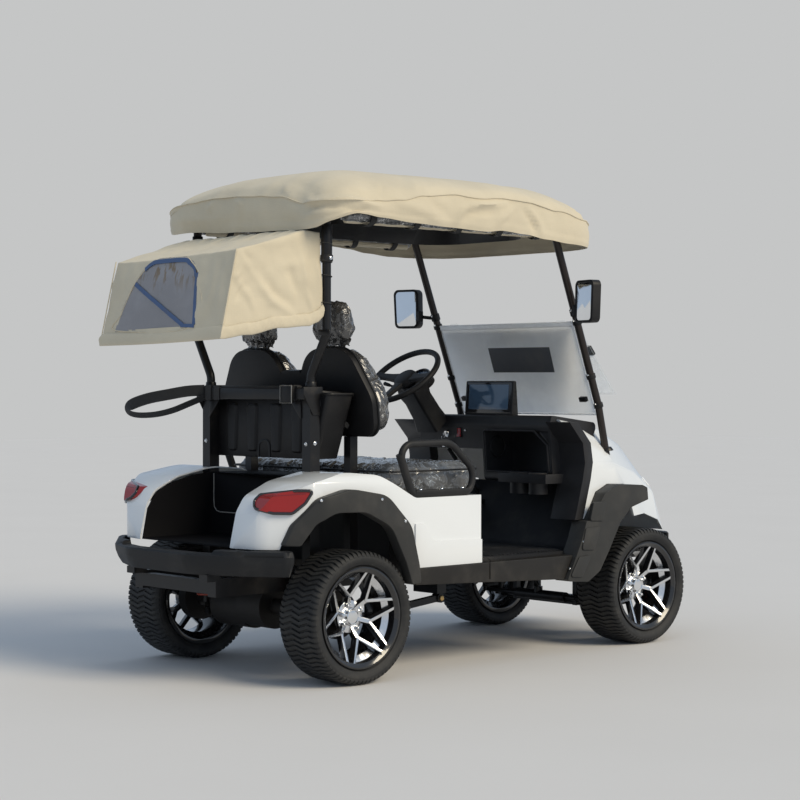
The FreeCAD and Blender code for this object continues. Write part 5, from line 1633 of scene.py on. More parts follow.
                    frayed = 0.0012 * noise.noise(Vector((p.x * 60, p.z * 60, number * 3.0)))
                    row.append(self.on_back(p.x + away.x, p.z + away.z, 0.0042 + frayed))
                rows.append(row)
            tape = Bench.skin(f"window_tape_{number}", rows)
            Bench.modify(tape, "SOLIDIFY", thickness=0.0012, offset=0)
            self.cart.add(Bench.outward(tape), TAPE)
            length = sum((b - a).length for a, b in zip(path, path[1:]))

    def trim(self) -> list[Piece]:
        """Binding round the window and a stitched seam under the top's rear edge."""
        edge = [self.on_back(x, z, 0.0016) for x, z in self.window_edge()]
        binding = Bench.sweep("binding", smooth_path(edge, 4, True), 0.0022, True, 1)
        seams = []
        for side in (1, -1):
            rising = [self.wall(side, 1, k / 20) + Vector((0.0012 * side, 0.0015, 0)) for k in range(21)]
            seams.append(Bench.sweep("seam", rising, 0.0022, False, 1))
        return [binding] + seams

    def ties(self) -> None:
        """Cord lacing from the hood's front edge round the rear posts."""
        for side in Side:
            for number, z in enumerate((1.44, 1.545, 1.60, 1.668)):
                x = 0.410
                ring = [Vector((side.value * (x + 0.0215 * math.cos(a)), rear(29) + 0.0225 * math.sin(a), z
                                + 0.004 * math.sin(a))) for a in np.linspace(0, math.tau, 19)[:-1]]
                self.cord(f"lacing_{side.tag}_{number}", WEB, ring, 0.0018)

    def build(self) -> None:
        """Make the hood, its hem, window and lacing."""
        rings = [self.section(k / self.stations) for k in range(self.stations + 1)]
        panels = [Bench.skin("hood", rings), Bench.skin("rear_panel", self.back())]
        piece = Bench.outward(Bench.join("bag_cover_cloth", panels))
        middle = Vector((0, rear(300), 1.45))
        wrong = sum(1 for f in piece.data.polygons if (f.center - middle).dot(f.normal) < 0)
        if wrong > len(piece.data.polygons) / 2:
            piece.data.flip_normals()
        Relief(self.folds(), (((1, 1, 1), 4.0, 0.008), ((1, 1, 1), 11, 0.005), ((1, 1, 1), 26, 0.0022))
               ).lay(piece, self.hold)
        Bench.modify(piece, "SUBSURF", levels=1, render_levels=1)
        Bench.modify(piece, "SOLIDIFY", thickness=self.cloth, offset=-1)
        self.cut_window(piece)
        piece = Bench.join("bag_cover_cloth", [piece, self.hem()] + self.trim())
        Bench.smooth(piece, 60)
        self.cart.add(piece, CREAM, replaces=["bag_cover"])
        self.window()
        self.ties()

    def cut_window(self, piece: Piece) -> None:
        """Open the rear panel inside the window's outline."""
        Bench.cut(piece, Bench.prism("window_tool", self.window_edge(), Plane.XZ, rear(420), rear(600)))

    def hold(self, spot: Vector) -> float:
        """The cloth is held at the hem and along the window."""
        return 0.35 + 0.65 * smooth_share(spot.z, 1.30, 1.36)


@dataclass
class Seats(Works):
    """Film-wrapped cushions and head rests on black moulded shells, the hip rails and the basket."""

    half: float = 0.500
    back_x: float = 0.238
    back_low: float = 0.933
    tilt: float = 9.0
    cap: float = 0.022
    frames: int = 20
    pressure: float = 3.0

    def swell(self, piece: Piece, voxel: float) -> None:
        """Blow a pad up as cloth, with the movement capped.

        Args:
            piece: The pad, made slightly small.
            voxel: Size of its even faces.
        """
        Bench.only(piece)
        piece.data.remesh_voxel_size = voxel
        bpy.ops.object.voxel_remesh()
        start = [v.co.copy() for v in piece.data.vertices]
        cloth = piece.modifiers.new("cloth", "CLOTH")
        cloth.settings.use_pressure = True
        cloth.settings.uniform_pressure_force = self.pressure
        cloth.settings.quality = 4
        cloth.settings.effector_weights.gravity = 0
        cloth.settings.tension_stiffness = 12
        cloth.point_cache.frame_start = 1
        cloth.point_cache.frame_end = self.frames
        for frame in range(1, self.frames + 1):
            bpy.context.scene.frame_set(frame)
        Bench.only(piece)
        bpy.ops.object.modifier_apply(modifier=cloth.name)
        bpy.context.scene.frame_set(1)
        for vertex, first in zip(piece.data.vertices, start):
            move = vertex.co - first
            if move.length > self.cap:
                vertex.co = first + move * (self.cap / move.length)
        Bench.modify(piece, "SMOOTH", factor=0.5, iterations=3)
        Bench.modify(piece, "SUBSURF", levels=1, render_levels=1)

    def crumple(self, piece: Piece, depth: float, stretch: Point, cells: float) -> None:
        """Thin sharp creases of the film over a pad."""
        places = np.array([v.co[:] for v in piece.data.vertices])
        lift = np.zeros(len(places))
        for i, place in enumerate(places):
            spot = Vector([c * s * cells for c, s in zip(place, stretch)])
            bend = noise.noise(spot * 0.4) * 1.2
            fine = 1 - abs(noise.noise(spot + Vector((bend, -bend, bend)))) * 3.2
            slow = 1 - abs(noise.noise(spot * 0.55 + Vector((5, bend, 2)))) * 3.0
            lift[i] = depth * (max(0.0, fine) ** 2 + 0.9 * max(0.0, slow) ** 2 - 0.5)
        Relief.push(piece, places, lift)

    def lean(self, piece: Piece) -> Piece:
        """Tilt a seat-back piece about the seat's lower edge."""
        pivot = Vector((0, rear(-200), self.back_low))
        piece.data.transform(Matrix.Translation(pivot) @ Matrix.Rotation(math.radians(-self.tilt), 4, "X")
                             @ Matrix.Translation(-pivot))
        return piece

    def outline(self, side: int, inset: float) -> list[tuple[float, float]]:
        """Front outline of one seat back, drawn in by an inset."""
        x, i = side * self.back_x, inset
        rows = [(x - 0.226 + i, self.back_low + i, 0.06), (x + 0.226 - i, self.back_low + i, 0.06),
                (x + 0.236 - i, 1.080, 0.12), (x + 0.120 - i * 0.6, 1.282 - i, 0.13 - i * 0.5),
                (x - 0.120 + i * 0.6, 1.282 - i, 0.13 - i * 0.5), (x - 0.236 + i, 1.080, 0.12)]
        return rounded(rows, 8)

    def back_pad(self, side: int) -> Piece:
        """One back cushion: flat against the shell, crowned in front, edges drawn in."""
        layers = [(-0.202, 0.010), (-0.232, 0.004), (-0.262, 0.008), (-0.284, 0.030), (-0.292, 0.075)]
        rows = [[Vector((x, rear(off * 1000), z)) for x, z in self.outline(side, inset)]
                for off, inset in layers]
        piece = Bench.closed_skin(f"back_pad_{side}", rows)
        self.swell(piece, 0.0085)
        for vertex in piece.data.vertices:
            vertex.co.y = min(vertex.co.y, rear(-200.6))
            x = vertex.co.x - side * self.back_x
            low_part = smooth_share(vertex.co.y, rear(-262), rear(-285))
            groove = math.exp(-((abs(x) - 0.105) / 0.007) ** 2) * low_part
            vertex.co.y += 0.012 * groove * smooth_share(vertex.co.z, 0.96, 1.0)
        self.crumple(piece, 0.0038, (1, 1, 0.55), 26)
        return self.lean(piece)

    def head_rest(self, side: int) -> Piece:
        """One head rest on its two stems, in its own bag of film."""
        x = side * self.back_x
        layers = [(-0.186, 0.024), (-0.196, 0.008), (-0.226, 0.003), (-0.252, 0.010), (-0.264, 0.032)]
        rows = []
        for off, i in layers:
            shape = rounded([(x - 0.095 + i, 1.300 + i, 0.034), (x + 0.095 - i, 1.300 + i, 0.034),
                             (x + 0.105 - i, 1.462 - i, 0.052), (x - 0.105 + i, 1.462 - i, 0.052)], 6)
            rows.append([Vector((u, rear(off * 1000), w)) for u, w in shape])
        piece = Bench.closed_skin(f"head_pad_{side}", rows)
        self.swell(piece, 0.0065)
        self.crumple(piece, 0.0055, (1, 1, 0.5), 30)
        stems = [Bench.rod("stem", (x + dx, rear(-225), 1.262), (x + dx, rear(-225), 1.312), 0.007, sides=20)
                 for dx in (-0.045, 0.045)]
        piece = Bench.join(f"head_pad_{side}", [piece, self.frill(x)])
        stem = Bench.join(f"head_stems_{side}", stems)
        self.cart.add(Bench.smooth(self.lean(stem)), STEEL)
        return self.lean(piece)

    def frill(self, x: float) -> Piece:
        """Loose mouth of the film bag, bunched round the stems."""
        rows = []
        for level, (w, d, z) in enumerate(((0.082, 0.030, 1.312), (0.074, 0.027, 1.303),
                                           (0.066, 0.024, 1.294), (0.070, 0.027, 1.286))):
            row = []
            for a in (math.tau * k / 72 for k in range(72)):
                wave = 1 + 0.09 * math.sin(a * 11 + level) + 0.05 * math.sin(a * 17 - level * 2)
                row.append(Vector((x + w * math.cos(a) * wave, rear(-225) + d * math.sin(a) * wave,
                                   z + 0.004 * math.sin(a * 7))))
            rows.append(row)
        piece = Bench.skin("frill", rows, wrap=True)
        Bench.modify(piece, "SOLIDIFY", thickness=0.001, offset=0)
        return piece

    def plan(self, half: float, nose: float, tail: float, steps: int) -> list[tuple[float, float]]:
        """Plan of the bottom cushion, its corners rounded in so many steps."""
        return rounded([(-half, nose, 0.06), (half, nose, 0.06), (half, tail, 0.04), (-half, tail, 0.04)],
                       steps)

    def cushion(self) -> Piece:
        """Bottom cushion: rounded nose, welted sides and two stitched channels a seat."""
        front_edge, back_edge = rear(-735), rear(-205)
        layers = [(0.6935, 0.020), (0.700, 0.008), (0.735, 0.004), (0.780, 0.005), (0.803, 0.014),
                  (0.812, 0.034)]
        rows = []
        for z, i in layers:
            half, nose, tail = self.half - i, front_edge + i * 1.3, back_edge - i * 0.5
            rows.append([Vector((u, w, z)) for u, w in self.plan(half, nose, tail, 8)])
        piece = Bench.closed_skin("seat_pad", rows)
        self.swell(piece, 0.0105)
        for vertex in piece.data.vertices:
            co = vertex.co
            co.z = max(co.z, 0.6926)
            co.x = max(-self.half + 0.001, min(self.half - 0.001, co.x))
            co.y = min(co.y, rear(-204.5))
            top = smooth_share(co.z, 0.79, 0.806)
            split = math.exp(-(co.x / 0.010) ** 2)
            channel = max(math.exp(-((abs(abs(co.x) - self.back_x) - 0.105) / 0.006) ** 2)
                          * smooth_share(co.y, front_edge + 0.07, front_edge + 0.12), 0.9 * split)
            co.z -= 0.012 * channel * top
            co.z = min(co.z, 0.8225)
        self.crumple(piece, 0.0034, (0.8, 1, 1), 24)
        return piece

    def welt(self) -> Piece:
        """Piping round the bottom cushion's upper edge."""
        half, nose, tail = self.half - 0.004, rear(-735) + 0.006, rear(-205) - 0.008
        path = [(x, y, 0.7925) for x, y in self.plan(half, nose, tail, 10)]
        return Bench.smooth(Bench.sweep("seat_welt", path, 0.0038, True, 2))

    def shells(self) -> None:
        """Moulded shells with a pale piping bead between shell and pad."""
        self.moulding("seat_shells", "seat_shell_moulding", SHELL, 0.007)
        for side in Side:
            loop = [(x, rear(-199.5), z) for x, z in self.outline(side.value, -0.0015)]
            bead = self.lean(Bench.sweep(f"shell_bead_{side.tag}", loop, 0.0042, True, 2))
            self.cart.add(Bench.smooth(bead), GREY, slot="black_plastic")
            for place, dx in (("in", -0.055), ("out", 0.055)):
                x = side.value * self.back_x + dx
                boss = Bench.rod(f"shell_bolt_{side.tag}_{place}", (x, rear(-172.5), 1.00),
                                 (x, rear(-168), 1.00), 0.011, 0.009, 24)
                self.cart.add(Bench.soften(self.lean(boss), 0.001, 2), CHROME)

    def rails(self) -> None:
        """Hip rails: moulded grip over the tube, a flat lower pad and foot plates."""
        x = self.half + 0.046
        low = 0.7055
        for side in Side:
            name, s = side.tag, side.value
            loop = rounded([(rear(-215), 0.900, 0.050), (rear(-292), low, 0.040), (rear(-606), low, 0.045),
                            (rear(-634), 0.786, 0.070), (rear(-500), 0.905, 0.110)], 10)
            rail = Bench.sweep(f"hip_rail_{name}", [(s * x, y, z) for y, z in loop], 0.0140, True, 5)
            self.cart.add(Bench.smooth(rail), GRIP, replaces=["armrests"] if side is Side.LEFT else [])
            bends = ((-228, 0.862), (-262, 0.779), (-286, 0.722))
            path = smooth_path([(s * x, rear(off), z) for off, z in bends], 6)
            self.cord(f"rail_sleeve_{name}", GRIP, path, 0.0162, False, 4)
            tread = [(rear(-594), 0.7065, 0.004), (rear(-304), 0.7065, 0.004), (rear(-300), 0.7215, 0.006),
                     (rear(-600), 0.7215, 0.006)]
            self.slab(f"rail_pad_{name}", GRIP, tread, Plane.YZ, s * (x - 0.0155), s * (x + 0.0155),
                      (0.0025, 2))
            for number, off in enumerate((-566, -452, -338)):
                self.rod(f"rail_bolt_{name}_{number}", CHROME, (s * x, rear(off), 0.7205),
                         (s * x, rear(off), 0.7255), 0.0085, 0.0070, 20, (0.001, 2))

    def basket(self) -> None:
        """Basket with tapered flutes on its rear wall, a rolled rim and an arched notch at its foot."""
        piece = Bench.soften(Bench.copy_node("basket_moulding", self.cart.nodes["basket"]), 0.0035, 2)
        flutes = []
        low, high = 0.862, 1.058
        middle = (low + high) / 2
        for x in (-0.205, -0.075, 0.075, 0.205):
            base = rounded([(x - 0.030, low, 0.012), (x + 0.030, low, 0.012), (x + 0.040, high, 0.014),
                            (x - 0.040, high, 0.014)], 5)
            flute = Bench.prism("flute", base, Plane.XZ, rear(0), rear(11))
            for vertex in flute.data.vertices:
                if vertex.co.y > rear(8):
                    vertex.co.x = x + (vertex.co.x - x) * 0.72
                    vertex.co.z = middle + (vertex.co.z - middle) * 0.94
            flutes.append(Bench.soften(flute, 0.004, 3))
        arch = rounded([(0.030, 0.8415, 0.003), (0.030, 0.905, 0.026), (-0.030, 0.905, 0.026),
                        (-0.030, 0.8415, 0.003)], 8)
        notch = Bench.prism("notch", arch, Plane.XZ, rear(-1), rear(6.5))
        face = rounded([(0.040, 0.8418, 0.002), (0.040, 0.915, 0.034), (-0.040, 0.915, 0.034),
                        (-0.040, 0.8418, 0.002)], 8)
        frame = Bench.prism("notch_face", face, Plane.XZ, rear(1), rear(5))
        Bench.cut(frame, notch)
        Bench.soften(frame, 0.0012, 2)
        rim = rounded(oblong(-0.396, 0.396, rear(-130), rear(0.5), 0.02), 6)
        bead = Bench.smooth(Bench.sweep("rim_bead", [(x, y, 1.094) for x, y in rim], 0.0052, True, 2))
        piece = Bench.join("basket_moulding", [piece, frame, bead] + flutes)
        self.cart.add(piece, SHELL, replaces=["basket"])

    def build(self) -> None:
        """Make the seat and everything bolted to it."""
        pads = [make(side.value) for side in Side for make in (self.back_pad, self.head_rest)]
        backs = Bench.smooth(Bench.join("seat_backs_wrapped", pads), 70)
        # The seat finishes paint bright highlight lines into the colour where the film is creased.
        self.cart.add(backs, SEAT, replaces=["seat_backs"])
        pad = self.cart.add(Bench.smooth(self.cushion(), 70), SEAT_TOP, replaces=["seat_cushion"])
        self.cart.add(self.welt(), BLACK, slot="seat_vinyl")
        self.shells()
        self.cart.coat("seat_supports", STEEL)
        self.rails()
        self.basket()


@dataclass
class Cockpit(Works):
    """Dash, display, steering, switches, mat and pedals."""

    hub: Point = (0.300, front(680), 1.172)
    foot: Point = (0.300, front(490), 0.942)

    def axis(self) -> Vector:
        """Direction of the steering column, upwards."""
        return (Vector(self.hub) - Vector(self.foot)).normalized()

    def dash(self) -> None:
        """Dash moulding with eased edges, the cubby's corner bevel, and its inner speaker ring."""
        self.moulding("dashboard", "dash_moulding", DASH, 0.005)
        corner = [(-0.3915, 0.9335, 0.0), (-0.318, 0.9335, 0.006), (-0.3915, 0.872, 0.006)]
        self.slab("cubby_corner", DASH, corner, Plane.XZ, front(330), front(466), (0.003, 2), 3)
        frame = rounded([(-0.392, 0.7535, 0.012), (-0.012, 0.7535, 0.012), (-0.012, 0.934, 0.018),
                         (-0.320, 0.934, 0.012), (-0.392, 0.874, 0.012)], 5)
        bead = [(x, front(473.5) + (z - 0.76) * 0.10, z) for x, z in frame]
        self.cord("cubby_bead", DASH, bead, 0.0042, sides=3)
        ring = Bench.ring("speaker_ring", (-0.0165, front(402), 0.859), (1, 0, 0), 0.046, 0.0035, 64, 12)
        self.cart.add(Bench.smooth(ring), DASH)
        cone = Bench.lathe("speaker_mesh", [(0.0, 0.0), (-0.004, 0.0), (-0.0035, 0.030), (-0.001, 0.0435),
                                            (0.0, 0.0435)], 48)
        cone.data.transform(Matrix.Translation((-0.0123, front(402), 0.859)))
        self.cart.add(Bench.smooth(cone), GRIP)
        for number, x in enumerate((-0.230, -0.340)):
            lip = Bench.ring(f"cup_lip_{number}", (x, front(485), 0.7525), (0, 0, 1), 0.0405, 0.0028, 48, 10)
            self.cart.add(Bench.smooth(lip), TRIM)

    def switches(self) -> None:
        """Key lock with a bunch of keys, red rocker and an indicator, on the dash's rear face."""
        face = front(480.5)
        fine, coarse = (0.0008, 2), (0.0012, 2)
        self.rod("key_lock", CHROME, (0.226, face - 0.006, 0.916), (0.226, face + 0.006, 0.912), 0.0155,
                 0.0145, 40, coarse)
        blade = rounded([(face + 0.004, 0.9070, 0.0), (face + 0.024, 0.9040, 0.003),
                         (face + 0.024, 0.9200, 0.003), (face + 0.004, 0.9170, 0.0)], 3)
        self.cart.add(Bench.prism("key_blade", blade, Plane.YZ, 0.2250, 0.2272), FACE)
        loop = Bench.ring("key_ring", (0.226, face + 0.026, 0.898), (1, 0.3, 0), 0.0125, 0.0011, 40, 8)
        self.cart.add(Bench.smooth(loop), CHROME)
        tag = [(0.216, 0.854, 0.004), (0.236, 0.854, 0.004), (0.236, 0.884, 0.006), (0.216, 0.884, 0.006)]
        self.slab("key_tag", FACE, tag, Plane.XZ, face + 0.020, face + 0.023, fine)
        self.slab("rocker_bezel", BLACK, oblong(0.1340, 0.1620, 0.8975, 0.9425, 0.004), Plane.XZ,
                  face - 0.006, face + 0.002, (0.001, 2))
        rocker = [(face + 0.001, 0.9010), (face + 0.0085, 0.9010), (face + 0.0035, 0.9200),
                  (face + 0.0060, 0.9390), (face + 0.001, 0.9390)]
        rocker = Bench.prism("rocker", rocker, Plane.YZ, 0.1375, 0.1585)
        self.cart.add(Bench.soften(rocker, *coarse), RED)
        self.rod("indicator", LAMP, (0.112, face - 0.004, 0.930), (0.112, face + 0.003, 0.930), 0.0045,
                 0.0035, 20, fine)

    def screen(self) -> None:
        """Tablet-like display: housing, glass in a bezel, and slotted side cheeks."""
        self.moulding("display", "display_housing", DASH, 0.005, slot="screen")
        for name, x0, x1, z0, z1, off, kind in (("bezel", -0.148, 0.133, 1.008, 1.143, 0.0012, GLOSS),
                                                ("glass", -0.128, 0.116, 1.024, 1.134, 0.0019, SCREEN)):
            shape = rounded(oblong(x0, x1, z0, z1, 0.006), 5)
            rows = [[Vector((x, front(455) - 0.010 * (z - 1.0005) / 0.1495 + out, z)) for x, z in shape]
                    for out in (-0.001, off)]
            made = Bench.closed_skin(f"display_{name}", rows)
            self.cart.add(Bench.soften(made, 0.0006, 2), kind, slot="screen")
        slots = [Bench.block("slot", (-0.1562, front(426), z), (-0.1548, front(446), z + 0.007))
                 for z in (1.045 + number * 0.018 for number in range(4))]
        self.cart.add(Bench.soften(Bench.join("display_slots", slots), 0.0005, 1), GREY, slot="screen")

    def column(self) -> None:
        """Angular column shroud, gauge with its bezel and dial, and the lever."""
        self.cart.coat("steering_column", BLACK)
        a = self.axis()
        side, up = Vector((1, 0, 0)), Vector((0, -a.z, a.y))
        hub = Vector(self.hub)
        base, top = Vector(self.foot) + a * 0.012, hub - a * 0.043
        stations = ((0.0, 0.072, 0.060, -0.004), (0.25, 0.060, 0.054, 0.0), (0.62, 0.056, 0.052, 0.002),
                    (0.80, 0.064, 0.060, 0.004), (1.0, 0.054, 0.050, 0.004))
        rows = []
        for share, wide, deep, lift in stations:
            spot = base.lerp(top, share) + up * lift
            shape = rounded([(-wide, -deep * 0.8, 0.014), (wide, -deep * 0.8, 0.014),
                             (wide * 0.86, deep, 0.020), (-wide * 0.86, deep, 0.020)], 5)
            rows.append([spot + side * u + up * v for u, v in shape])
        self.cart.add(Bench.smooth(Bench.closed_skin("column_shroud", rows), 32), BLACK)
        face = hub - a * 0.0395 + Vector((0, -0.070, 0.020))
        bezel = [(0.0, 0.059), (0.010, 0.058), (0.014, 0.054), (0.010, 0.050), (0.002, 0.049), (0.0, 0.049)]
        dial = [(0.0, 0.0), (0.006, 0.0), (0.005, 0.030), (0.003, 0.0488), (0.0, 0.0488)]
        for name, profile, kind in (("gauge_bezel", bezel, GLOSS), ("gauge_dial", dial, SCREEN)):
            piece = Bench.lathe(name, profile, 64, tuple(a))
            piece.data.transform(Matrix.Translation(face))
            self.cart.add(Bench.smooth(piece), kind)
        ticks = []
        for number in range(13):
            turn = math.radians(-120 + 20 * number)
            way = up * math.cos(turn) + side * math.sin(turn)
            inner, outer = (0.036, 0.044) if number % 2 == 0 else (0.039, 0.044)
            ticks.append(Bench.rod("tick", face + a * 0.0052 + way * inner, face + a * 0.0046 + way * outer,
                                   0.0007, sides=6))
        self.cart.add(Bench.smooth(Bench.join("gauge_ticks", ticks)), LAMP)
        start = hub - a * 0.075 + side * 0.045
        path = smooth_path([start, start + side * 0.05 + up * 0.006,
                            start + side * 0.105 + a * 0.012 + up * 0.012], 6)
        lever = Bench.sweep("turn_lever", path, 0.0055, False, 3)
        knob = Bench.rod("knob", start + side * 0.100 + a * 0.0112 + up * 0.0115,
                         start + side * 0.135 + a * 0.018 + up * 0.016, 0.0075, 0.0095, 24)
        self.cart.add(Bench.smooth(Bench.join("turn_lever", [lever, Bench.soften(knob)])), BLACK)

    def wheel(self) -> None:
        """Steering wheel: padded rim, moulded spokes and a plain centre pad."""
        a = self.axis()
        piece = Bench.soften(Bench.copy_node("steering_wheel_rim", self.cart.nodes["steering_wheel"]),
                             0.0025, 2)
        up = Vector((0, -a.z, a.y))
        hub = Vector(self.hub)
        pad = Bench.lathe("centre_pad", [(-0.030, 0.0), (-0.030, 0.052), (-0.014, 0.056), (-0.004, 0.050),
                                         (0.002, 0.036), (0.004, 0.0)], 56, tuple(a))
        pad.data.transform(Matrix.Translation(hub))
        covers = [Bench.smooth(pad, 50)]
        for way in (Vector((1, 0, 0)), Vector((-1, 0, 0)), -up):
            across = a.cross(way)
            rows = []
            for share, wide, thick in ((0.26, 0.024, 0.012), (0.5, 0.019, 0.010), (0.8, 0.0165, 0.0095),
                                       (0.97, 0.021, 0.012)):
                spot = hub - a * (0.020 * (1 - share)) + way * 0.172 * share
                shape = rounded(oblong(-wide, wide, -thick, thick, 0.006), 4)
                rows.append([spot + across * u + a * v for u, v in shape])
            covers.append(Bench.smooth(Bench.outward(Bench.skin("spoke_cover", rows, wrap=True))))
        piece = Bench.join("steering_wheel_rim", [piece] + covers)
        self.cart.add(piece, GRIP, "steering", ["steering_wheel"])

    def floor(self) -> None:
        """Ribbed rubber mat in the footwell, and treads on the pedals."""
        self.cart.coat("floor_pan", MAT)
        bars = [Bench.block("rib", (-0.470, y, 0.4315), (0.470, y + 0.009, 0.4352))
                for y in (front(452) + number * 0.0215 for number in range(22))]
        self.cart.add(Bench.soften(Bench.join("floor_ribs", bars), 0.0014, 1), MAT)
        self.cart.coat("pedals", STEEL)
        treads = []
        for x, wide in ((0.150, 0.060), (0.265, 0.090)):
            half = wide / 2 - 0.004
            for number in range(5):
                z = 0.538 + number * 0.018
                y = front(492) - (z - 0.528) / 0.102 * 0.042
                treads.append(Bench.block("tread", (x - half, y - 0.001, z),
                                          (x + half, y + 0.0035, z + 0.009)))
        self.cart.add(Bench.soften(Bench.join("pedal_treads", treads), 0.0014, 2), BLACK)

    def build(self) -> None:
        """Make the whole cockpit."""
        self.dash()
        self.switches()
        self.screen()
        self.column()
        self.wheel()
        self.floor()


@dataclass
class Uprights(Works):
    """Rear and front posts with their fittings, rack, straps, mirrors, windshield and curtains."""

    post_x: float = 0.318
    post_half: float = 0.024
    upper_x: float = 0.410
    front_x: float = 0.432
    pane_foot: float = 203
    pane_low: float = 1.046
    pane_run: float = 0.272
    pane_rise: float = 0.701
    roll_x: float = 0.450
    strap_first: float = 0.117
    strap_gap: float = 0.235

    @property
    def slope(self) -> Vector:
        """Direction up the front posts and the lower pane."""
        return Vector((0, self.pane_run, self.pane_rise)).normalized()

    def bolt(self, name: str, spot: Point, way: Point, radius: float = 0.0065) -> None:
        """Domed hexagon head on a washer."""
        a, d = Vector(spot), Vector(way).normalized()
        washer = Bench.rod("washer", a - d * 0.001, a + d * 0.0015, radius * 1.25, sides=24)
        head = Bench.rod("head", a + d * 0.001, a + d * 0.0065, radius, radius * 0.86, 6)
        self.cart.add(Bench.join(name, [Bench.soften(head, 0.001, 2), washer]), CHROME)

    def rear(self) -> None:
        """Post tops with gussets, tube clamps and sleeves."""
        self.cart.coat("rear_posts", STEEL)
        y = rear(27)
        thin = (0.0015, 2)
        for side in Side:
            s, name = side.value, side.tag
            inner, outer = self.post_x - self.post_half, self.post_x + self.post_half
            low, high = sorted((s * (outer + 0.0003), s * (outer + 0.0045)))
            cheek = [(y - 0.036, 1.122, 0.004), (y + 0.060, 1.122, 0.004), (y + 0.060, 1.094, 0.004),
                     (y + 0.012, 1.012, 0.006), (y - 0.024, 1.012, 0.004), (y - 0.036, 1.060, 0.006)]
            self.slab(f"post_cheek_{name}", STEEL, cheek, Plane.YZ, low, high, thin)
            gusset = [(s * (inner - 0.004), 1.071, 0.002), (s * (inner - 0.070), 1.071, 0.003),
                      (s * (inner - 0.001), 0.995, 0.003)]
            self.slab(f"post_gusset_{name}", STEEL, gusset, Plane.XZ, y + 0.0243, y + 0.0293, thin)
            for part, kind, x, foot, head, radius, far in (
                    ("post_collar", STEEL, self.post_x, 1.1185, 1.142, 0.0225, 0.0205),
                    ("tube_sleeve", STEEL, self.upper_x, 1.595, 1.742, 0.0215, None),
                    ("tube_clamp", GRIP, self.upper_x, 1.60, 1.625, 0.0245, None)):
                self.rod(f"{part}_{name}", kind, (s * x, y, foot), (s * x, y, head), radius, far, 40,
                         slot="black_steel")
            self.bolt(f"clamp_bolt_{name}", (s * (self.upper_x + 0.024), y, 1.6125), (s, 0, 0), 0.006)
            for number, z in enumerate((0.905, 0.640)):
                self.bolt(f"post_screw_{name}_{number}", (s * outer, y, z), (s, 0, 0))
            self.bolt(f"post_face_screw_{name}", (s * self.post_x, y + self.post_half, 0.902), (0, 1, 0),
                      0.0060)
            tab = [(s * 0.386, 1.318, 0.004), (s * 0.452, 1.318, 0.006), (s * 0.452, 1.340, 0.006),
                   (s * 0.386, 1.340, 0.004)]
            self.slab(f"cover_tab_{name}", STEEL, tab, Plane.XZ, y + 0.0172, y + 0.0215, thin)

    def tops(self) -> None:
        """Post ends that run up into the moulded roof."""
        for side in Side:
            s = side.value
            rear_end = [(s * self.upper_x, rear(27), z) for z in (1.738, 1.812)]
            front_end = [(s * self.front_x, self.pane_line(z), z) for z in (1.735, 1.812)]
            for part, (low, high), radius in (("rear", rear_end, 0.0168), ("front", front_end, 0.0158)):
                end = Bench.rod(f"{part}_post_end_{side.tag}", low, high, radius, sides=40)
                self.cart.add(Bench.smooth(end), POST)

    def rack(self) -> None:
        """Cross bar with its pads, divider and stay arms to the seat shell."""
        y0, y1 = rear(51.3), rear(83)
        pad = [(y0 + 0.002, 1.1182, 0.002), (y1 - 0.001, 1.1182, 0.002), (y1 - 0.004, 1.1265, 0.006),
               (y0 + 0.005, 1.1265, 0.006)]
        self.slab("rack_pad", GRIP, pad, Plane.YZ, -0.300, 0.300)
        self.moulding("bag_rack", "rack_bar", STEEL, 0.004)
        y = rear(27) - 0.0245
        arm = [(y, 1.110, 0.003), (rear(-142), 1.100, 0.008), (rear(-150), 1.070, 0.008), (y, 1.072, 0.003)]
        for side in Side:
            s, name = side.value, side.tag
            self.slab(f"stay_arm_{name}", STEEL, arm, Plane.YZ, s * 0.300, s * 0.336, (0.003, 2))
            for number, off in enumerate((-52, -112)):
                self.bolt(f"stay_bolt_{name}_{number}", (s * 0.336, rear(off), 1.089), (s, 0, 0))
            path = [(s * 0.344, rear(10), 1.062), (s * 0.348, rear(-70), 1.010),
                    (s * 0.348, rear(-138), 0.968)]
            self.cart.add(Bench.sweep(f"thin_stay_{name}", path, 0.0022, False, 2, 0.016), WEB)

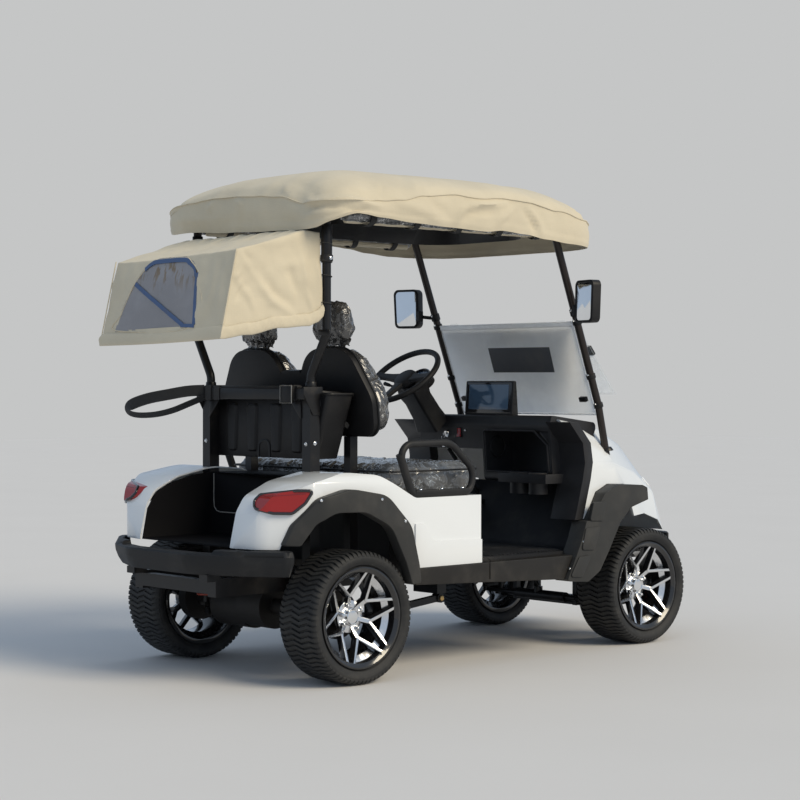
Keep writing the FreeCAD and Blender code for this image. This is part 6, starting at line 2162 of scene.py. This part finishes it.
    def straps(self) -> None:
        """Left: a broad loop of webbing; right: a buckle strap in its keeper, with the bar's wrap."""
        y = rear(83)
        out = Vector((0.677, 0.736, 0))
        width = 0.045
        start = Vector((0.292, y - 0.004, 1.094))
        shape = ((0.0, 0.014), (0.07, 0.010), (0.15, -0.004), (0.23, -0.020), (0.292, -0.042),
                 (0.312, -0.062), (0.302, -0.080), (0.262, -0.088), (0.196, -0.084), (0.130, -0.068),
                 (0.066, -0.042), (0.0, -0.014))
        loop = smooth_path([start + out * u + Vector((0, 0, w)) for u, w in shape], 6)
        last = len(loop) - 1
        ways = []
        for k in range(last + 1):
            ahead = (loop[min(k + 1, last)] - loop[max(k - 1, 0)]).normalized()
            level = ahead.cross(Vector((-out.y, out.x, 0))).normalized()
            flat = ahead.cross(level).normalized()
            lean = math.radians(62 * (1 - smooth_share(k / last, 0.30, 0.52)) + 28)
            ways.append((level * math.sin(lean) + flat * math.cos(lean)) * width)
        rows = [[p + way * across for p, way in zip(loop, ways)]
                for across in (-0.5, -0.46, -0.15, 0.15, 0.46, 0.5)]
        band = Bench.skin("strap_loop", rows)
        Bench.modify(band, "SOLIDIFY", thickness=0.0030, offset=0)
        webs = [Bench.smooth(Bench.outward(band), 50)]
        for x, wide in ((0.262, 0.040), (0.205, 0.036), (-0.255, 0.060)):
            ring = rounded([(y - 0.0345, 1.0695, 0.004), (y + 0.0025, 1.0695, 0.004),
                            (y + 0.0025, 1.1290, 0.005), (y - 0.0345, 1.1290, 0.005)], 4)
            inner = rounded([(y - 0.0317, 1.0722, 0.003), (y, 1.0722, 0.003), (y, 1.1264, 0.004),
                             (y - 0.0317, 1.1264, 0.004)], 4)
            outer_loop = [[Vector((x + e * wide / 2, a, b)) for a, b in shape]
                          for shape, e in ((inner, -1), (ring, -1), (ring, 1), (inner, 1))]
            webs.append(Bench.outward(Bench.skin("wrap", outer_loop + [outer_loop[0]], wrap=True)))
        piece = self.cart.add(Bench.join("bag_straps_webbing", webs), WEB, replaces=["bag_straps"])
        self.slab("strap_buckle", BLACK, oblong(-0.286, -0.224, 1.061, 1.126, 0.003), Plane.XZ, y + 0.0028,
                  y + 0.017, (0.003, 2), 3)
        frame = [(x, y + 0.017, z) for x, z, _ in oblong(-0.289, -0.221, 1.060, 1.127, 0)]
        self.cord("buckle_frame", GREY_METAL, frame, 0.0026)

    def front(self) -> None:
        """Front posts with foot plates, pane clamps and hinge blocks."""
        self.cart.coat("front_posts", POST)
        for side in Side:
            s, name = side.value, side.tag
            for number, (z, tall) in enumerate(((1.044, 0.020), (1.170, 0.020), (1.402, 0.020),
                                                (1.445, 0.030))):
                y = self.pane_line(z)
                c = Vector((s * self.front_x, y, z))
                half = self.slope * tall / 2
                self.rod(f"post_clamp_{name}_{number}", BLACK, c - half, c + half, 0.0205)
                self.bolt(f"clamp_screw_{name}_{number}", (s * self.front_x, y + 0.0195, z + 0.004),
                          (0, 1, -0.2), 0.0045)
            self.rod(f"post_foot_{name}", STEEL, (s * self.front_x, front(146.5), 0.846),
                     (s * self.front_x, front(148), 0.862), 0.030, 0.020, 40)

    def mirrors(self) -> None:
        """Mirror housings with a rim, glass, and a ball clamp on the arm."""
        self.moulding("mirrors", "mirror_housings", BLACK, 0.006)
        turn = (Matrix.Translation((0.555, front(412), 1.485)) @ Matrix.Rotation(math.radians(14), 4, "Z")
                @ Matrix.Translation((-0.555, -front(412), -1.485)))
        for side in Side:
            corners = [(0.499, 1.405, 0.018), (0.608, 1.405, 0.018), (0.617, 1.565, 0.018),
                       (0.502, 1.565, 0.018)]
            glass = Bench.prism("glass", rounded(corners, 6), Plane.XZ, front(430.5), front(433.2))
            edge = rounded([(0.4965, 1.4025, 0.020), (0.6105, 1.4025, 0.020), (0.6195, 1.5675, 0.020),
                            (0.4995, 1.5675, 0.020)], 6)
            rim = Bench.sweep("rim", [(x, front(432.5), z) for x, z in edge], 0.0035, True, 2)
            clamp = Bench.block("clamp", (0.474, front(394), 1.424), (0.500, front(420), 1.474))
            parts = ((Bench.soften(glass, 0.0008, 2), MIRROR), (Bench.smooth(rim), BLACK),
                     (Bench.soften(clamp, 0.004, 3), BLACK))
            for part, kind in parts:
                if part is not clamp:
                    part.data.transform(turn)
                if side is Side.RIGHT:
                    Bench.mirror(part)
                label = part.name.split(".")[0]
                part.name = part.data.name = f"mirror_{label}_{side.tag}"
                self.cart.add(part, kind, slot="black_plastic")

    def pane_line(self, z: float) -> float:
        """Y of the lower pane's middle at one height."""
        return front(self.pane_foot + (z - self.pane_low) / self.pane_rise * self.pane_run * 1000)

    def catch(self, name: str, x: float, half: Point, spot: Vector, way: Vector) -> None:
        """Small softened block that stands along a pane; half is half its size, x its place across."""
        block = Bench.block(name, (x - half[0], -half[1], -half[2]), (x + half[0], half[1], half[2]))
        Bench.soften(block, 0.003, 2)
        block.data.transform(Matrix.Translation(spot) @ way.to_track_quat("Z", "Y").to_matrix().to_4x4())
        self.cart.add(block, BLACK)

    def windshield(self) -> None:
        """Both panes still in their milky film, with a bright upper strip and a bare label field."""
        self.cart.coat("windshield", SHEET)
        away = Vector((0, self.pane_rise, -self.pane_run)).normalized()

        def panel(name: str, corners: Sequence[tuple[float, float]], off: float, thick: float,
                  kind: object) -> None:
            """Thin rectangle on the lower pane's rear face."""
            at = [Vector((x, self.pane_line(z), z)) + away * off for x, z in corners]
            rows = []
            for j in range(5):
                rows.append([at[0].lerp(at[3], j / 4).lerp(at[1].lerp(at[2], j / 4), i / 6)
                             for i in range(7)])
            piece = Bench.skin(name, rows)
            Bench.modify(piece, "SOLIDIFY", thickness=thick, offset=1)
            self.cart.add(Bench.soften(Bench.outward(piece), thick * 0.3, 1), kind)

        panel("pane_film", [(0.408, 1.010), (-0.408, 1.010), (-0.408, 1.392), (0.408, 1.392)], 0.0032, 0.0008,
              MILK)
        hinge, tip = Vector((0, self.pane_line(1.405) - 0.014, 1.401)), Vector((0, front(66), 1.092))
        across = Vector((0, -0.762, 0.647)) * 0.0036
        folded = [[hinge.lerp(tip, 0.02 + 0.97 * j / 6) + across + Vector((0.404 * (1 - i / 5), 0, 0))
                   for i in range(11)] for j in range(7)]
        cover = Bench.skin("upper_pane_film", folded)
        Bench.modify(cover, "SOLIDIFY", thickness=0.0008, offset=1)
        self.cart.add(Bench.outward(cover), PANE_COVER)
        for side in Side:
            spot = hinge.lerp(tip, 0.40) + across * 2.2 + Vector((side.value * 0.392, 0, 0))
            self.catch(f"upper_pane_clip_{side.tag}", 0, (0.020, 0.007, 0.024), spot,
                       (tip - hinge).normalized())
        panel("pane_label_field", [(0.144, 1.191), (-0.230, 1.190), (-0.236, 1.300), (0.141, 1.301)],
              0.0043, 0.0006, LABEL)
        panel("pane_top_strip", [(0.412, 1.386), (-0.412, 1.386), (-0.412, 1.408), (0.412, 1.408)],
              0.0036, 0.0060, STRIP)
        bead = [Vector((x, self.pane_line(z), z)) + away * 0.001 for x, z in
                ((0.4145, 1.004), (-0.4145, 1.004), (-0.4145, 1.404), (0.4145, 1.404))]
        self.cord("pane_bead", EDGE, bead, 0.0042)
        for side in Side:
            spot = Vector((0, self.pane_line(1.075), 1.075)) + away * 0.013
            self.catch(f"pane_latch_{side.tag}", side.value * 0.366, (0.020, 0.009, 0.011), spot, self.slope)

    def curtains(self) -> None:
        """Rolled side curtains: crumpled film and cream cloth rolls, tied with black straps."""
        rolls: dict[str, list[Piece]] = {"film": [], "cream": []}
        ends = (front(512), rear(-15))
        for side in Side:
            s = side.value
            for core, radius, first, last, kind in ((0.002, 0.0275, ends[0], ends[1], "film"),
                                                    (-0.0170, 0.0135, ends[0] + 0.02, ends[1] - 0.02,
                                                     "cream")):
                rows = []
                count = 150
                for k in range(count + 1):
                    y = first + (last - first) * k / count
                    row = []
                    for j in range(28):
                        a = math.tau * j / 28
                        spot = Vector((math.cos(a) * 2.2 + s * 9, y * 16, math.sin(a) * 2.2))
                        fine = 0.10 * noise.noise(spot * 2.7) if kind == "film" else 0.03
                        lump = noise.noise(spot) * 0.16 + fine
                        tie = min(abs((y - first) % self.strap_gap - self.strap_first) / 0.03, 1.0)
                        grow = radius * (1 + lump) * (0.86 + 0.14 * tie) * (0.35 if k in (0, count) else 1)
                        shift = -0.012 * s if kind == "cream" else 0.003 * s
                        row.append(Vector((s * self.roll_x + shift + math.cos(a) * grow,
                                           y, 1.7785 + core + math.sin(a) * grow * 0.94)))
                    rows.append(row)
                rolls[kind].append(Bench.closed_skin(f"roll_{kind}_{side.tag}", rows))
            for number in range(6):
                y = ends[0] + self.strap_first + self.strap_gap * number
                if y > ends[1] - 0.02:
                    continue
                ring = [(s * self.roll_x + 0.0315 * math.cos(a), y + 0.004 * math.sin(a * 2 + number),
                         1.7715 + 0.0305 * math.sin(a)) for a in np.linspace(0, math.tau, 33)[:-1]]
                rows = [[Vector((x, yy + w * 0.030 + 0.3 * (x - s * self.roll_x), z)) for x, yy, z in ring]
                        for w in (-0.5, 0.5)]
                strap = Bench.skin(f"roll_strap_{side.tag}_{number}", rows, wrap=True)
                Bench.modify(strap, "SOLIDIFY", thickness=0.002, offset=1)
                self.cart.add(Bench.smooth(strap, 50), WEB)
        # The film finish paints bright highlight lines into the colour of the rolls.
        films = Bench.smooth(Bench.join("curtain_film_rolls", rolls["film"]), 60)
        self.cart.add(films, FILM, replaces=["curtain_rolls"])
        cloths = Bench.smooth(Bench.join("curtain_cloth_rolls", rolls["cream"]), 60)
        self.cart.add(cloths, CREAM, slot="curtain")

    def build(self) -> None:
        """Make the whole upper works."""
        self.rear()
        self.tops()
        self.rack()
        self.straps()
        self.front()
        self.mirrors()
        self.windshield()
        self.curtains()


@dataclass
class Running(Works):
    """Coil springs and link bolts under the floor, and the finishes of the frame and running gear."""

    def coil(self, name: str, low: Point, high: Point, radius: float, wire: float, turns: float,
             kind: object) -> None:
        """Coil spring between two seats.

        Args:
            name: The piece's name.
            low: Centre of the lower seat.
            high: Centre of the upper seat.
            radius: From the axis to the wire's middle.
            wire: The wire's radius.
            turns: Number of turns.
            kind: The finish.
        """
        a, b = Vector(low), Vector(high)
        axis = (b - a).normalized()
        side = axis.cross(Vector((0, 1, 0))).normalized()
        other = axis.cross(side)
        steps = int(turns * 20)
        path = []
        for k in range(steps + 1):
            share = k / steps
            turn = math.tau * turns * share
            path.append(a.lerp(b, share) + side * radius * math.cos(turn) + other * radius * math.sin(turn))
        spring = Bench.sweep(name, path, wire, False, 2)
        seats = []
        for spot, way in ((a, axis), (b, -axis)):
            seat = Bench.rod("spring_seat", spot - way * 0.004, spot + way * 0.003, radius + wire, sides=40)
            seats.append(Bench.soften(seat, 0.001, 2))
        self.cart.add(Bench.smooth(Bench.join(name, [spring] + seats)), kind)

    def build(self) -> None:
        """Dress the running gear."""
        for node, kind in (("chassis_frame", STEEL), ("front_subframe", STEEL), ("front_suspension", STEEL),
                           ("knuckle_left", CAST), ("knuckle_right", CAST), ("tie_rods", STEEL),
                           ("rear_axle", CAST), ("rear_suspension", STEEL), ("battery_pack", BLACK)):
            self.cart.coat(node, kind)
        for side in Side:
            s, name = side.value, side.tag
            self.coil(f"rear_spring_{name}", (s * 0.300, rear(66), 0.279), (s * 0.300, rear(66), 0.380),
                      0.0315, 0.0048, 5.5, SPRING)
            low, top = Vector((s * 0.285, front(0), 0.185)), Vector((s * 0.215, front(0), 0.560))
            way = (top - low).normalized()
            self.coil(f"front_spring_{name}", low + way * 0.085, top - way * 0.035, 0.0305, 0.0042, 9.5,
                      SPRING)
            for number, (x, y, z) in enumerate(((0.330, rear(-640), 0.262), (0.330, rear(0), 0.207))):
                head = Bench.rod("head", (s * (x + 0.012), y, z), (s * (x + 0.026), y, z), 0.0115, sides=6)
                washer = Bench.rod("washer", (s * (x + 0.012), y, z), (s * (x + 0.0165), y, z), 0.0165,
                                   sides=28)
                bolt = Bench.join(f"link_bolt_{name}_{number}", [Bench.soften(head, 0.0012, 2), washer])
                self.cart.add(Bench.smooth(bolt, 30), BRASS)


@dataclass
class Studio(Works):
    """Floor, backdrop, lamps and the camera at the photograph's angle."""

    eye: Point = (-5.944, 5.5409, 1.118)
    heading: float = 132.65
    pitch: float = -0.36
    roll: float = -0.08
    lens: float = 85.74

    def camera(self) -> None:
        """Place the camera."""
        Bench.clear()
        bpy.ops.object.camera_add(location=self.eye)
        camera = bpy.context.object
        yaw = math.radians(180 - self.heading)
        look = Vector((math.sin(yaw), -math.cos(yaw), math.tan(math.radians(self.pitch)))).normalized()
        turn = look.to_track_quat("-Z", "Y").to_matrix() @ Matrix.Rotation(math.radians(-self.roll), 3, "Z")
        camera.rotation_euler = turn.to_euler()
        camera.data.lens = self.lens
        camera.data.sensor_width = 36
        bpy.context.scene.camera = camera

    def sun(self, way: Point, angle: float, power: float, colour: Point) -> None:
        """Soft broad light from one direction, as even over the floor as daylight."""
        bpy.ops.object.light_add(type="SUN", location=Vector(way) * 8)
        lamp = bpy.context.object
        lamp.data.angle = math.radians(angle)
        lamp.data.energy = power
        lamp.data.color = colour
        lamp.rotation_euler = Vector(way).to_track_quat("Z", "Y").to_euler()

    def build(self) -> None:
        """Make floor, lamps, world and camera."""
        Bench.clear()
        bpy.ops.mesh.primitive_plane_add(size=60)
        floor = Bench.named("studio_floor")
        t = Tree("studio_floor")
        colour = t.mix(t.noise(1.2, 5), (0.66, 0.645, 0.63), (0.69, 0.675, 0.66))
        floor.data.materials.append(t.surface(Base_Color=colour, Roughness=0.95, Specular_IOR_Level=0.1))
        floor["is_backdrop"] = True
        self.sun((-0.78, -0.20, 0.60), 28, 2.45, (1.0, 0.88, 0.68))
        world = bpy.data.worlds.new("studio")
        world.use_nodes = True
        nodes, links = world.node_tree.nodes, world.node_tree.links
        sky = nodes["Background"]
        sky.inputs[0].default_value = (0.37, 0.45, 0.56, 1)
        sky.inputs[1].default_value = 1.0
        backdrop = nodes.new("ShaderNodeBackground")
        backdrop.inputs[0].default_value = (0.5585, 0.5645, 0.5645, 1)
        path, mixed = nodes.new("ShaderNodeLightPath"), nodes.new("ShaderNodeMixShader")
        links.new(path.outputs["Is Camera Ray"], mixed.inputs[0])
        links.new(sky.outputs[0], mixed.inputs[1])
        links.new(backdrop.outputs[0], mixed.inputs[2])
        links.new(mixed.outputs[0], nodes["World Output"].inputs[0])
        bpy.context.scene.world = world
        bpy.context.scene.view_settings.view_transform = "Standard"
        self.camera()


def main() -> None:
    """Build the looks in order."""
    logging.basicConfig(level=logging.INFO, format="%(message)s")
    cart = Cart()
    for part in (Bodywork(cart), Wheels(cart), Running(cart), Cockpit(cart), Seats(cart), RoofCover(cart),
                 BagCover(cart), Uprights(cart), Studio(cart)):
        part.build()
    sizes = {"cad": [list(corner) for corner in cart.box], "visual": [list(corner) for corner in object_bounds()]}


if __name__ == "__main__":
    main()
